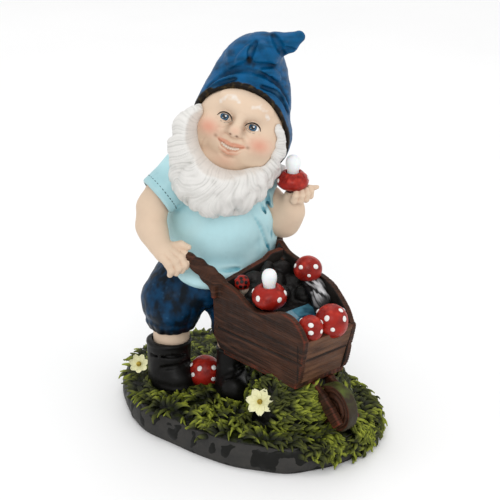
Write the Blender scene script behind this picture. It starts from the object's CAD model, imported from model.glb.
import bpy
import math
import numpy as np
import openvdb as vdb
from mathutils.kdtree import KDTree
from mathutils import Matrix, Vector


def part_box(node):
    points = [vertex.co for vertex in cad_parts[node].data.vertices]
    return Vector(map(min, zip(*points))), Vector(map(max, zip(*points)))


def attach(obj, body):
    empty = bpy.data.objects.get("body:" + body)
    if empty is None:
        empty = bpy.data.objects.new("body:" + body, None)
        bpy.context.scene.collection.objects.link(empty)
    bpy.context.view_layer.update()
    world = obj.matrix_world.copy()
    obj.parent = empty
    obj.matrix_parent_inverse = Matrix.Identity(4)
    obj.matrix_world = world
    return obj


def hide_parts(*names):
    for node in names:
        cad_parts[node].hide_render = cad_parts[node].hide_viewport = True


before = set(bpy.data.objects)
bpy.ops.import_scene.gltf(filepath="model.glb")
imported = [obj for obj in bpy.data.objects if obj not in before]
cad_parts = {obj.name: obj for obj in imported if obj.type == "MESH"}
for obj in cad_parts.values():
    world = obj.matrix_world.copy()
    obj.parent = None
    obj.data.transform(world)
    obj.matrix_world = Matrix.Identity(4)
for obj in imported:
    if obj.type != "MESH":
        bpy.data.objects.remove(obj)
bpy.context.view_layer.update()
MM = 0.001
f32 = np.float32


# ------------------------------------------------------------------ small maths
def A(*v):
    return np.array(v, float)


def unit(v):
    v = np.asarray(v, float)
    return v / np.linalg.norm(v)


def axes_about(n, hint=(0, 0, 1)):
    """Three unit rows: across, up, out, with out along n."""
    n = unit(n)
    a = np.cross(hint, n)
    if np.linalg.norm(a) < 1e-4:
        a = np.cross((0, 1, 0), n)
    a = unit(a)
    return np.array([a, np.cross(n, a), n])


def rot_about(axis, deg):
    return np.array(Matrix.Rotation(math.radians(deg), 3, axis))


def step(a, b, x):
    t = np.clip((x - a) / (b - a), 0, 1)
    return t * t * (3 - 2 * t)


def cell_hash(ix, iy, iz, seed):
    n = (ix * 374761393 + iy * 668265263 + iz * 1440662683 + seed * 1013904223) & 0xFFFFFFFF
    n = ((n ^ (n >> 13)) * 1274126177) & 0xFFFFFFFF
    n = n ^ (n >> 16)
    return (n & 0xFFFF).astype(f32) / 32767.5 - 1.0


def noise(p, size, seed=0):
    """Smooth value noise, -1..1, with features about size mm across."""
    q = np.asarray(p, float) / size + seed * 7.31 + 1000.0
    i = np.floor(q).astype(np.int64)
    f = (q - i).astype(f32)
    u = f * f * (3 - 2 * f)
    out = 0
    for dx in (0, 1):
        for dy in (0, 1):
            for dz in (0, 1):
                w = (u[..., 0] if dx else 1 - u[..., 0]) * (u[..., 1] if dy else 1 - u[..., 1]) * (u[..., 2] if dz else 1 - u[..., 2])
                out = out + w * cell_hash(i[..., 0] + dx, i[..., 1] + dy, i[..., 2] + dz, seed)
    return out


def fbm(p, size, seed=0, octaves=3, gain=0.5):
    out, amp, tot = 0, 1.0, 0.0
    for k in range(octaves):
        out = out + amp * noise(p, size / 2 ** k, seed + 11 * k)
        tot += amp
        amp *= gain
    return out / tot


def lerp3(a, b, t):
    a, b = np.asarray(a, float), np.asarray(b, float)
    return a + (b - a) * np.asarray(t)[..., None]


# ------------------------------------------------------------------ solids as distance fields
def smin(a, b, k):
    if k <= 0:
        return np.minimum(a, b)
    h = np.clip(k - np.abs(a - b), 0, None) / k
    return np.minimum(a, b) - h * h * k * 0.25


class Shape:
    def __init__(self, lo, hi, fn):
        self.lo, self.hi, self.fn = np.array(lo, float), np.array(hi, float), fn


def ball(c, r):
    c = A(*c)
    return Shape(c - r, c + r, lambda x, y, z: np.sqrt((x - c[0]) ** 2 + (y - c[1]) ** 2 + (z - c[2]) ** 2) - r)


def egg(c, r, axes=None):
    """Ellipsoid; axes holds its three directions as rows."""
    c, r = A(*c), A(*r)
    m = np.eye(3) if axes is None else np.array(axes, float)
    ext = np.sqrt(((m * r[:, None]) ** 2).sum(0))

    def fn(x, y, z):
        x, y, z = x - c[0], y - c[1], z - c[2]
        k0 = k1 = 0
        for j in range(3):
            q = (x * m[j, 0] + y * m[j, 1] + z * m[j, 2]) / r[j]
            k0 = k0 + q * q
            k1 = k1 + (q / r[j]) ** 2
        k0 = np.sqrt(k0)
        return k0 * (k0 - 1.0) / np.sqrt(k1 + 1e-9)
    return Shape(c - ext, c + ext, fn)


def bone(a, b, ra, rb):
    a, b = A(*a), A(*b)
    v = b - a
    vv = float(v @ v)

    def fn(x, y, z):
        x, y, z = x - a[0], y - a[1], z - a[2]
        h = np.clip((x * v[0] + y * v[1] + z * v[2]) / vv, 0, 1)
        return np.sqrt((x - h * v[0]) ** 2 + (y - h * v[1]) ** 2 + (z - h * v[2]) ** 2) - (ra + (rb - ra) * h)
    return Shape(np.minimum(a - ra, b - rb), np.maximum(a + ra, b + rb), fn)


def slab(c, half, axes=None, rnd=0.0):
    c, half = A(*c), A(*half)
    m = np.eye(3) if axes is None else np.array(axes, float)
    ext = (np.abs(m) * half[:, None]).sum(0)

    def fn(x, y, z):
        x, y, z = x - c[0], y - c[1], z - c[2]
        q = [np.abs(x * m[j, 0] + y * m[j, 1] + z * m[j, 2]) - (half[j] - rnd) for j in range(3)]
        o = np.sqrt(sum(np.maximum(k, 0) ** 2 for k in q))
        return o + np.minimum(np.maximum(np.maximum(q[0], q[1]), q[2]), 0) - rnd
    return Shape(c - ext, c + ext, fn)


def drum(a, b, ra, rb, rnd=0.0):
    """Cone or cylinder with flat ends."""
    a, b = A(*a), A(*b)
    n = unit(b - a)
    length = float(np.linalg.norm(b - a))

    def fn(x, y, z):
        x, y, z = x - a[0], y - a[1], z - a[2]
        t = x * n[0] + y * n[1] + z * n[2]
        rad = np.sqrt(np.maximum(x * x + y * y + z * z - t * t, 0))
        q1 = rad - (ra + (rb - ra) * np.clip(t / length, 0, 1)) + rnd
        q2 = np.abs(t - length / 2) - length / 2 + rnd
        return np.sqrt(np.maximum(q1, 0) ** 2 + np.maximum(q2, 0) ** 2) + np.minimum(np.maximum(q1, q2), 0) - rnd
    r = max(ra, rb)
    return Shape(np.minimum(a, b) - r, np.maximum(a, b) + r, fn)


class Field:
    def __init__(self, lo, hi, h):
        self.h = h
        self.lo = np.array(lo, float)
        n = np.ceil((np.array(hi, float) - self.lo) / h).astype(int) + 1
        self.ax = [(self.lo[i] + h * np.arange(n[i])).astype(f32) for i in range(3)]
        self.d = np.full(n, 50.0, f32)

    def window(self, lo, hi):
        s = []
        for i in range(3):
            n = len(self.ax[i])
            a = int(np.clip((lo[i] - self.lo[i]) / self.h, 0, n))
            b = int(np.clip((hi[i] - self.lo[i]) / self.h + 2, 0, n))
            s.append(slice(a, b))
        x, y, z = (self.ax[i][s[i]] for i in range(3))
        return tuple(s), x[:, None, None], y[None, :, None], z[None, None, :]

    def add(self, shape, k=0.0):
        pad = k + 3 * self.h
        s, x, y, z = self.window(shape.lo - pad, shape.hi + pad)
        if min(self.d[s].shape) > 0:
            self.d[s] = smin(self.d[s], shape.fn(x, y, z).astype(f32), k)
        return self

    def cut(self, shape, k=0.0):
        pad = k + 3 * self.h
        s, x, y, z = self.window(shape.lo - pad, shape.hi + pad)
        if min(self.d[s].shape) > 0:
            self.d[s] = -smin(-self.d[s], shape.fn(x, y, z).astype(f32), k)
        return self

    def limit(self, fn, k=0.0):
        """Keeps only where fn is below zero."""
        x, y, z = self.ax[0][:, None, None], self.ax[1][None, :, None], self.ax[2][None, None, :]
        self.d = -smin(-self.d, -fn(x, y, z).astype(f32) + 0 * self.d, k)
        return self

    def chain(self, pts, radii, k=0.0, kk=0.0):
        """A run of round bones: joined to each other with kk, to the field with k."""
        pts = [A(*p) for p in pts]
        bones = [bone(pts[j], pts[j + 1], radii[j], radii[j + 1]) for j in range(len(pts) - 1)]
        lo = np.min([b.lo for b in bones], 0)
        hi = np.max([b.hi for b in bones], 0)

        def fn(x, y, z):
            d = bones[0].fn(x, y, z)
            for b in bones[1:]:
                d = smin(d, b.fn(x, y, z), kk)
            return d
        return self.add(Shape(lo, hi, fn), k)

    def mesh(self):
        g = vdb.FloatGrid(3.0)
        g.copyFromArray(np.ascontiguousarray(np.clip(self.d / self.h, -3, 3).astype(f32)), tolerance=0.0)
        pts, quads = g.convertToQuads(isovalue=0.0)
        return pts.astype(float) * self.h + self.lo, quads[:, ::-1].astype(np.int64)


def normals_of(p, q):
    """Vertex normals of a quad or triangle mesh, outward when the faces are wound outward."""
    a, b = (q[:, 2], q[:, 3]) if q.shape[1] == 4 else (q[:, 1], q[:, 2])
    if q.shape[1] == 4:
        n = np.cross(p[a] - p[q[:, 0]], p[b] - p[q[:, 1]])
    else:
        n = np.cross(p[a] - p[q[:, 0]], p[b] - p[q[:, 0]])
    out = np.zeros_like(p)
    for j in range(3):
        acc = np.zeros(len(p))
        for c in range(q.shape[1]):
            acc += np.bincount(q[:, c], weights=n[:, j], minlength=len(p))
        out[:, j] = acc
    return out / np.maximum(np.linalg.norm(out, axis=1), 1e-9)[:, None]


def outward(p, q):
    """Turns the faces over if the mesh's volume comes out negative."""
    c = p.mean(0)
    t = [(0, 1, 2), (0, 2, 3)] if q.shape[1] == 4 else [(0, 1, 2)]
    v = sum(np.einsum("ij,ij->i", p[q[:, a]] - c, np.cross(p[q[:, b]] - c, p[q[:, d]] - c)).sum() for a, b, d in t)
    return q if v > 0 else q[:, ::-1]


def relax(p, q, rounds=2, amount=0.5):
    e = np.concatenate([q[:, [0, 1]], q[:, [1, 2]], q[:, [2, 3]], q[:, [3, 0]]])
    deg = np.bincount(e.ravel(), minlength=len(p)).astype(float)
    for k in range(rounds):
        s = np.zeros_like(p)
        for j in range(3):
            s[:, j] = np.bincount(e[:, 0], weights=p[e[:, 1], j], minlength=len(p)) + np.bincount(e[:, 1], weights=p[e[:, 0], j], minlength=len(p))
        p = p + amount * (s / np.maximum(deg, 1)[:, None] - p)
    return p


# ------------------------------------------------------------------ Blender objects
def piece(name, p, q, mat, body="figure", replaces=(), slot=None, smooth=True, **attrs):
    """A mesh object from points in mm. attrs: arrays of colour (n,3) or value (n,)."""
    me = bpy.data.meshes.new(name)
    me.vertices.add(len(p))
    me.vertices.foreach_set("co", (np.asarray(p, float) * MM).astype(f32).ravel())
    q = np.asarray(q)
    k = q.shape[1]
    me.loops.add(q.size)
    me.loops.foreach_set("vertex_index", q.astype(np.int32).ravel())
    me.polygons.add(len(q))
    me.polygons.foreach_set("loop_start", (np.arange(len(q)) * k).astype(np.int32))
    me.polygons.foreach_set("use_smooth", np.full(len(q), smooth))
    me.update(calc_edges=True)
    me.validate()
    for key, v in attrs.items():
        v = np.asarray(v, float)
        if v.ndim == 2:
            at = me.attributes.new(key, "FLOAT_COLOR", "POINT")
            at.data.foreach_set("color", np.concatenate([np.clip(v, 0, 1), np.ones((len(v), 1))], 1).astype(f32).ravel())
        else:
            at = me.attributes.new(key, "FLOAT", "POINT")
            at.data.foreach_set("value", v.astype(f32))
    ob = bpy.data.objects.new(name, me)
    bpy.context.scene.collection.objects.link(ob)
    me.materials.append(mat)
    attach(ob, body)
    if replaces:
        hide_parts(*replaces)
    return ob


def sculpt(field, displace=None, rounds=1):
    p, q = field.mesh()
    q = outward(p, q)
    if rounds:
        p = relax(p, q, rounds)
    n = normals_of(p, q)
    if displace is not None:
        h = displace(p, n)
        p = p + n * h[:, None]
        n = normals_of(p, q)
    return p, q, n


def sweep(points, radii, sides=10, closed_ends=True):
    """A tube mesh along points, with a round end at each end."""
    pts = np.array(points, float)
    r = np.array(radii, float)
    t = np.gradient(pts, axis=0)
    t /= np.linalg.norm(t, axis=1)[:, None]
    up = A(0.13, 0.21, 1.0)
    rows, P = [], []
    for k in range(len(pts)):
        a = np.cross(up, t[k])
        a /= np.linalg.norm(a) + 1e-9
        b = np.cross(t[k], a)
        ang = np.arange(sides) * 2 * math.pi / sides
        P.append(pts[k] + r[k] * (np.cos(ang)[:, None] * a + np.sin(ang)[:, None] * b))
    V = np.concatenate(P + [pts[:1] - t[:1] * r[0] * 0.6, pts[-1:] + t[-1:] * r[-1] * 0.6])
    n, F = len(pts), []
    for k in range(n - 1):
        for j in range(sides):
            j2 = (j + 1) % sides
            F.append((k * sides + j, k * sides + j2, (k + 1) * sides + j2, (k + 1) * sides + j))
    for j in range(sides):
        j2 = (j + 1) % sides
        F.append((j2, j, n * sides, n * sides))
        F.append(((n - 1) * sides + j, (n - 1) * sides + j2, n * sides + 1, n * sides + 1))
    return V, np.array(F)


def fix_tris(q):
    """Quads whose last two corners are one point become triangles, kept as two lists."""
    tri = q[:, 2] == q[:, 3]
    return q[~tri], q[tri][:, :3]


def piece_mixed(name, p, q, mat, **kw):
    """As piece, for quads with some collapsed to triangles: splits every face into triangles."""
    a, b = fix_tris(q)
    t = np.concatenate([a[:, [0, 1, 2]], a[:, [0, 2, 3]], b])
    return piece(name, p, t, mat, **kw)


def merge(parts):
    P, Q, n = [], [], 0
    for p, q in parts:
        P.append(p)
        Q.append(q + n)
        n += len(p)
    return np.concatenate(P), np.concatenate(Q)


def lathe(profile, at, axes=None, sides=96):
    """Turned mesh from (r, z) points, first and last on the axis."""
    m = np.eye(3) if axes is None else np.array(axes, float)
    prof = np.array(profile, float)
    ang = np.arange(sides) * 2 * math.pi / sides
    mid = prof[1:-1]
    P = np.stack([mid[:, 0][:, None] * np.cos(ang), mid[:, 0][:, None] * np.sin(ang), np.repeat(mid[:, 1][:, None], sides, 1)], -1).reshape(-1, 3)
    P = np.concatenate([P, [[0, 0, prof[0, 1]], [0, 0, prof[-1, 1]]]])
    n, F = len(mid), []
    j = np.arange(sides)
    j2 = (j + 1) % sides
    for k in range(n - 1):
        F.append(np.stack([k * sides + j, k * sides + j2, (k + 1) * sides + j2, (k + 1) * sides + j], 1))
    top, bot = n * sides, n * sides + 1
    F.append(np.stack([j2, j, np.full(sides, top), np.full(sides, top)], 1))
    F.append(np.stack([(n - 1) * sides + j, (n - 1) * sides + j2, np.full(sides, bot), np.full(sides, bot)], 1))
    return P @ m + A(*at), np.concatenate(F)


def smooth_curve(pts, n, closed=False):
    """Catmull-Rom through the points (any dimension), n samples."""
    p = np.array(pts, float)
    if closed:
        p = np.concatenate([p[-1:], p, p[:2]])
        t = np.linspace(0, len(p) - 3, n, endpoint=False)
    else:
        p = np.concatenate([2 * p[:1] - p[1:2], p, 2 * p[-1:] - p[-2:-1]])
        t = np.linspace(0, len(p) - 3, n)
    i = np.minimum(np.floor(t).astype(int), len(p) - 4)
    f = (t - i)[:, None]
    a, b, c, d = p[i], p[i + 1], p[i + 2], p[i + 3]
    return 0.5 * ((2 * b) + (c - a) * f + (2 * a - 5 * b + 4 * c - d) * f ** 2 + (3 * b - a - 3 * c + d) * f ** 3)


# ------------------------------------------------------------------ materials
def srgb(r, g, b):
    return tuple(((c / 255.0 + 0.055) / 1.055) ** 2.4 if c > 10 else c / 255.0 / 12.92 for c in (r, g, b))


def material(name):
    m = bpy.data.materials.new(name)
    m.use_nodes = True
    nt = m.node_tree
    bs = nt.nodes["Principled BSDF"]
    return m, nt, bs


def node(nt, kind, **kw):
    n = nt.nodes.new(kind)
    for k, v in kw.items():
        setattr(n, k, v)
    return n


def tex(nt, scale, detail=4.0, rough=0.55, squash=(1, 1, 1), distort=0.0):
    """Noise in object coordinates, scale in features per metre, optionally stretched."""
    tc = node(nt, "ShaderNodeTexCoord")
    mp = node(nt, "ShaderNodeMapping")
    mp.inputs["Scale"].default_value = squash
    nz = node(nt, "ShaderNodeTexNoise")
    nz.inputs["Scale"].default_value = scale
    nz.inputs["Detail"].default_value = detail
    nz.inputs["Roughness"].default_value = rough
    nz.inputs["Distortion"].default_value = distort
    nt.links.new(tc.outputs["Object"], mp.inputs["Vector"])
    nt.links.new(mp.outputs["Vector"], nz.inputs["Vector"])
    return nz.outputs["Fac"]


def remap(nt, sock, a, b, c, d):
    r = node(nt, "ShaderNodeMapRange")
    r.inputs["From Min"].default_value = a
    r.inputs["From Max"].default_value = b
    r.inputs["To Min"].default_value = c
    r.inputs["To Max"].default_value = d
    nt.links.new(sock, r.inputs["Value"])
    return r.outputs["Result"]


def mix(nt, fac, a, b, mode="MIX"):
    m = node(nt, "ShaderNodeMix", data_type="RGBA", blend_type=mode)
    for key, v in (("Factor", fac), ("A", a), ("B", b)):
        sock = [s for s in m.inputs if s.name == key and (s.type == ("VALUE" if key == "Factor" else "RGBA"))][0]
        if isinstance(v, (tuple, list)):
            sock.default_value = (*v, 1.0)
        elif isinstance(v, (int, float)):
            sock.default_value = v
        else:
            nt.links.new(v, sock)
    return [s for s in m.outputs if s.type == "RGBA"][0]


def attr(nt, name, out="Color"):
    a = node(nt, "ShaderNodeAttribute", attribute_name=name)
    return a.outputs[out]


def bump(nt, bs, height, strength=0.3, distance=0.001):
    b = node(nt, "ShaderNodeBump")
    b.inputs["Strength"].default_value = strength
    b.inputs["Distance"].default_value = distance
    nt.links.new(height, b.inputs["Height"])
    nt.links.new(b.outputs["Normal"], bs.inputs["Normal"])


def painted(name, rough=(0.45, 0.65), var=0.12, var_scale=90, grain=900, bump_s=0.25, bump_d=0.0004, coat=0.0, spec=0.2):
    """Hand-painted resin: the vertex paint 'col', broken up by brush-scale noise."""
    m, nt, bs = material(name)
    n1 = tex(nt, var_scale, 5.0, 0.6)
    n2 = tex(nt, grain, 3.0, 0.6)
    shade = remap(nt, n1, 0.3, 0.7, 1.0 - var, 1.0 + var * 0.6)
    col = attr(nt, "col")
    c2 = node(nt, "ShaderNodeVectorMath", operation="SCALE")
    nt.links.new(col, c2.inputs[0])
    nt.links.new(shade, c2.inputs["Scale"])
    nt.links.new(c2.outputs["Vector"], bs.inputs["Base Color"])
    nt.links.new(remap(nt, n1, 0.35, 0.65, rough[0], rough[1]), bs.inputs["Roughness"])
    bs.inputs["Specular IOR Level"].default_value = spec
    bs.inputs["Coat Weight"].default_value = coat
    bs.inputs["Coat Roughness"].default_value = 0.22
    bump(nt, bs, n2, bump_s, bump_d)
    return m


def plain(name, a, b, rough=(0.4, 0.6), scale=200, metal=0.0, bump_s=0.15, bump_d=0.0003, grain=1200, squash=(1, 1, 1), coat=0.0, trans=0.0, ior=1.45):
    """Two-tone noise-mixed material, for the CAD pieces and trim."""
    m, nt, bs = material(name)
    n1 = tex(nt, scale, 4.0, 0.55, squash)
    n2 = tex(nt, grain, 2.0, 0.5, squash)
    nt.links.new(mix(nt, remap(nt, n1, 0.35, 0.65, 0, 1), a, b), bs.inputs["Base Color"])
    nt.links.new(remap(nt, n1, 0.3, 0.7, rough[0], rough[1]), bs.inputs["Roughness"])
    bs.inputs["Metallic"].default_value = metal
    bs.inputs["Coat Weight"].default_value = coat
    bs.inputs["Transmission Weight"].default_value = trans
    bs.inputs["IOR"].default_value = ior
    bump(nt, bs, n2, bump_s, bump_d)
    return m


# ------------------------------------------------------------------ camera, light, floor
AZ, EL, DIST, SCALE = math.radians(-40.0), math.radians(24.0), 1.25, 0.775
TARGET = Vector((0.0095, 0.005, 0.138))
OUT = Vector((math.sin(AZ) * math.cos(EL), -math.cos(AZ) * math.cos(EL), math.sin(EL)))
cam = bpy.data.cameras.new("camera")
cam.sensor_width = 36.0
cam.lens = 36.0 * DIST / (SCALE * 0.5)
cam.clip_start, cam.clip_end = 0.05, 20.0
cam_ob = bpy.data.objects.new("camera", cam)
cam_ob.location = TARGET + OUT * DIST
cam_ob.rotation_euler = (-OUT).to_track_quat("-Z", "Y").to_euler()
bpy.context.scene.collection.objects.link(cam_ob)
bpy.context.scene.camera = cam_ob

floor_me = bpy.data.meshes.new("floor")
floor_me.from_pydata([(-6, -6, 0), (6, -6, 0), (6, 6, 0), (-6, 6, 0)], [], [(0, 1, 2, 3)])
floor = bpy.data.objects.new("floor", floor_me)
bpy.context.scene.collection.objects.link(floor)
floor_me.materials.append(plain("floor_paint", (0.93, 0.93, 0.93), (0.95, 0.95, 0.95), (0.85, 0.95), 3, bump_s=0.0))
floor.location = (0, 0, -0.0002)

world = bpy.data.worlds.new("world")
bpy.context.scene.world = world
world.use_nodes = True
world.node_tree.nodes["Background"].inputs[0].default_value = (1.0, 1.0, 1.0, 1.0)
world.node_tree.nodes["Background"].inputs[1].default_value = 0.8


def area(name, loc, at, size, power):
    li = bpy.data.lights.new(name, "AREA")
    li.size = size
    li.energy = power
    ob = bpy.data.objects.new(name, li)
    ob.location = loc
    ob.rotation_euler = (Vector(at) - Vector(loc)).to_track_quat("-Z", "Y").to_euler()
    bpy.context.scene.collection.objects.link(ob)


area("key", (-1.3, -1.3, 1.8), (0, 0, 0.15), 1.1, 13)
area("fill", (0.9, -1.9, 0.9), (0, 0, 0.15), 1.6, 5)
area("top", (0.3, 0.6, 2.0), (0, 0, 0.15), 1.6, 10)
bpy.context.scene.view_settings.view_transform = "Standard"
bpy.context.scene.view_settings.look = "None"

# ------------------------------------------------------------------ paints
FLESH = A(*srgb(220, 196, 172))
FLESH_SHADE = A(*srgb(186, 138, 110))
PINK = A(*srgb(214, 140, 118))
HAT_BLUE = A(*srgb(0, 78, 122))
HAT_DEEP = A(*srgb(3, 26, 46))
HAT_DRY = A(*srgb(18, 100, 146))
BRIM_DARK = A(*srgb(22, 17, 13))
BRIM_GOLD = A(*srgb(92, 76, 44))
BEARD = A(*srgb(226, 224, 220))
BEARD_GREY = A(*srgb(150, 150, 144))
AQUA = A(*srgb(182, 222, 228))
AQUA_DEEP = A(*srgb(86, 172, 190))
AQUA_PALE = A(*srgb(206, 232, 234))
NAVY = A(*srgb(6, 18, 28))
NAVY_DRY = A(*srgb(8, 60, 96))
BLACK = A(*srgb(12, 11, 10))
BROWN = A(*srgb(68, 38, 22))
BROWN_DARK = A(*srgb(14, 9, 6))
BROWN_RED = A(*srgb(128, 48, 30))
RED = A(*srgb(156, 32, 22))
RED_DEEP = A(*srgb(84, 8, 6))
GREEN = A(*srgb(84, 96, 20))
GREEN_LIGHT = A(*srgb(176, 184, 66))
GREEN_DARK = A(*srgb(8, 11, 4))
ROCK = A(*srgb(16, 16, 13))
ROCK_DRY = A(*srgb(30, 30, 25))
CREAM = A(*srgb(238, 235, 186))
WHITE = A(*srgb(232, 231, 228))

M_SKIN = painted("skin_paint", (0.44, 0.6), 0.04, 60, 700, 0.08, spec=0.12)
M_HAT = painted("hat_paint", (0.36, 0.5), 0.14, 140, 900, 0.3, coat=0.0, spec=0.14)
M_BEARD = painted("beard_paint", (0.4, 0.58), 0.04, 120, 900, 0.12)
M_SHIRT = painted("shirt_paint", (0.26, 0.42), 0.05, 70, 700, 0.1, coat=0.1)
M_TROUSERS = painted("trousers_paint", (0.3, 0.5), 0.2, 160, 900, 0.25, coat=0.0, spec=0.14)
M_BOOT = painted("boot_paint", (0.34, 0.5), 0.2, 120, 800, 0.25, coat=0.0, spec=0.16)
M_WOOD = painted("wood_paint", (0.42, 0.66), 0.2, 220, 1100, 0.35)
M_SOIL = painted("soil_paint", (0.3, 0.6), 0.3, 200, 900, 0.4)
M_RED = painted("toadstool_paint", (0.24, 0.4), 0.08, 160, 700, 0.1, coat=0.03, spec=0.2)
M_DOT = painted("dot_paint", (0.25, 0.4), 0.04, 200, 900, 0.1, coat=0.2)
M_GROUND = painted("ground_paint", (0.34, 0.52), 0.06, 180, 900, 0.35, spec=0.18)
M_GRASS = painted("grass_paint", (0.4, 0.65), 0.25, 300, 1200, 0.3)
M_FLOWER = painted("flower_paint", (0.35, 0.55), 0.05, 300, 1000, 0.15)

# ------------------------------------------------------------------ face frame
HEAD_C, HEAD_R = A(22, 32, 226), A(35, 35, 38)
EYE_MID = A(2.8, 9.8, 242.7)
FX, FY, FZ = unit((0.6035, -0.728, -0.324)), unit((0.426, -0.049, 0.904)), unit((-0.674, -0.684, 0.280))
FACE = np.array([FX, FY, FZ])


def on_face(u, v, w=0.0):
    """A point on the skull at face coordinates u (to its left), v (up), raised by w along the face's normal."""
    o = EYE_MID + u * FX + v * FY - HEAD_C
    a = ((FZ / HEAD_R) ** 2).sum()
    b = 2 * (o * FZ / HEAD_R ** 2).sum()
    c = ((o / HEAD_R) ** 2).sum() - 1
    disc = b * b - 4 * a * c
    t = (-b + math.sqrt(disc)) / (2 * a) if disc > 0 else -b / (2 * a)
    return EYE_MID + u * FX + v * FY + (t + w) * FZ


def face_uv(p):
    d = p - EYE_MID
    return d @ FX, d @ FY, d @ FZ


EYES = (-11.3, 11.3)


def line_dist(p, pts, radii=None):
    """Distance from points p to a run of straight pieces, less a radius that may vary."""
    best = np.full(len(p), 1e9)
    for k in range(len(pts) - 1):
        a, b = A(*pts[k]), A(*pts[k + 1])
        v = b - a
        h = np.clip(((p - a) @ v) / (v @ v), 0, 1)
        r = 0 if radii is None else radii[k] + (radii[k + 1] - radii[k]) * h
        best = np.minimum(best, np.linalg.norm(p - a - h[:, None] * v, axis=1) - r)
    return best


def build_head():
    F = Field((-20, -12, 166), (66, 74, 266), 0.5)
    F.add(egg(HEAD_C, HEAD_R - 0.15))
    F.add(drum((12, 42, 173), (20, 36, 208), 16.8, 18.4, 2), 6)
    # brow, cheeks, muzzle and chin
    F.add(egg(on_face(0, 14, -7), (21, 7, 7.4), FACE), 6)
    for s in (-1, 1):
        F.add(egg(on_face(s * 17.5, -12.0, -9.0), (12.5, 10.5, 12.4), FACE), 5)
        F.cut(egg(on_face(s * 11.3, 0.6, 1.9), (7.6, 5.4, 3.4), FACE), 3)
    F.add(egg(on_face(0, -18.5, -8.2), (14, 9, 11.2), FACE), 5)
    F.add(egg(on_face(0.0, -29.5, -7.4), (9.5, 6.0, 9.6), FACE), 4)
    # eyeballs sit in the sockets
    for u in EYES:
        F.add(ball(on_face(u, 0, -6.2), 6.0), 0.8)
        lid = [on_face(u + a, b, c) for a, b, c in ((-5.8, -1.0, -1.0), (-4.2, 2.3, -0.1), (-1.5, 3.9, 0.35), (1.5, 3.9, 0.35), (4.2, 2.3, -0.2), (5.8, -0.8, -1.2))]
        F.chain(lid, [0.5, 0.85, 1.05, 1.05, 0.85, 0.5], 1.0, 0.5)
        low = [on_face(u + a, b, c) for a, b, c in ((-5.8, -1.0, -1.0), (-3.3, -3.3, -0.4), (0, -4.0, -0.2), (3.3, -3.3, -0.4), (5.8, -0.8, -1.2))]
        F.chain(low, [0.4, 0.7, 0.8, 0.7, 0.4], 1.6, 0.5)
        bag = [on_face(u + a, b, c) for a, b, c in ((-4.4, -5.2, -0.6), (0, -6.6, -0.4), (4.4, -5.2, -0.6))]
        F.chain(bag, [0.6, 0.9, 0.6], 2.2, 0.5)
    # fuller jowls and chin fill the round opening of the beard
    F.add(egg(on_face(-5, -33, -8.5), (20, 8.5, 11.5), FACE), 4)
    F.add(egg(on_face(-22.5, -17, -10.5), (9.5, 15, 12.5), FACE), 4)
    # brows
    brows = []
    for s in (-1, 1):
        pts = [on_face(s * a, b, 0.25) for a, b in ((5.6, 13.8), (9.8, 15.4), (14.4, 14.0), (18.6, 10.0))]
        brows.append(pts)
        F.chain(pts, [0.7, 1.4, 1.3, 0.6], 1.4, 1)
    # nose
    F.chain([on_face(0, 3, -1.6), on_face(0, -2.6, 0.5)], [2.0, 2.9], 3.5, 2)
    F.add(egg(on_face(-0.1, -6.8, 2.9), (5.7, 4.8, 5.0), FACE), 2.4)
    for s in (-1, 1):
        F.add(ball(on_face(s * 5.0, -7.4, 0.8), 2.6), 1.4)
        F.cut(ball(on_face(s * 2.6, -9.9, 3.5), 1.0), 0.8)
    # mouth: a wide smile, lips a little parted over small teeth
    up = [on_face(a, b, c) for a, b, c in ((-12.2, -15.4, -0.2), (-8.2, -16.5, 1.2), (-3.0, -17.2, 2.3), (0, -17.8, 2.3), (3.0, -17.2, 2.3), (8.2, -16.3, 1.2), (12.4, -14.9, -0.2))]
    F.chain(up, [0.7, 1.2, 1.5, 1.3, 1.5, 1.2, 0.7], 1.0, 0.8)
    dn = [on_face(a, b, c) for a, b, c in ((-11.0, -17.4, 0.1), (-6.4, -21.9, 1.3), (0, -24.2, 2.0), (6.4, -21.9, 1.3), (11.2, -17.0, 0.1))]
    F.chain(dn, [0.7, 1.6, 2.0, 1.6, 0.7], 1.2, 0.8)
    gape = [on_face(a, b, c) for a, b, c in ((-9.6, -17.1, 1.9), (-5.2, -19.4, 2.7), (0, -20.7, 3.1), (5.2, -19.4, 2.7), (9.8, -16.8, 1.9))]
    for k, (ra, rb) in enumerate(((0.7, 1.9), (1.9, 2.2), (2.2, 1.9), (1.9, 0.7))):
        F.cut(bone(gape[k], gape[k + 1], ra, rb), 0.6)
    for s in (-1, 1):
        F.cut(ball(on_face(s * 13.0, -15.0, 1.4), 1.1), 2.0)
        # smile fold beside the nose
        F.chain([on_face(s * 6.6, -7.4, 0.8), on_face(s * 11.2, -11.0, 0.9), on_face(s * 14.6, -17.6, 0.1)], [0.6, 1.5, 0.7], 2.8, 1)
    F.cut(egg(on_face(0, -26.6, 2.2), (6, 1.5, 2.2), FACE), 2)
    p, q, n = sculpt(F, lambda p, n: 0.08 * fbm(p, 7, 3))
    u, v, w = face_uv(p)
    front = step(0, 14, w + 22)
    col = np.tile(FLESH * 1.04, (len(p), 1))
    col = lerp3(col, FLESH_SHADE, np.clip(0.22 * fbm(p, 22, 5) + 0.03, 0, 0.25))
    sm = relax(p, q, 10, 0.6)
    cave = ((sm - p) * n).sum(1)
    col = lerp3(col, A(*srgb(176, 128, 102)), np.clip(cave * 1.6, 0, 0.75) * front)

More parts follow.
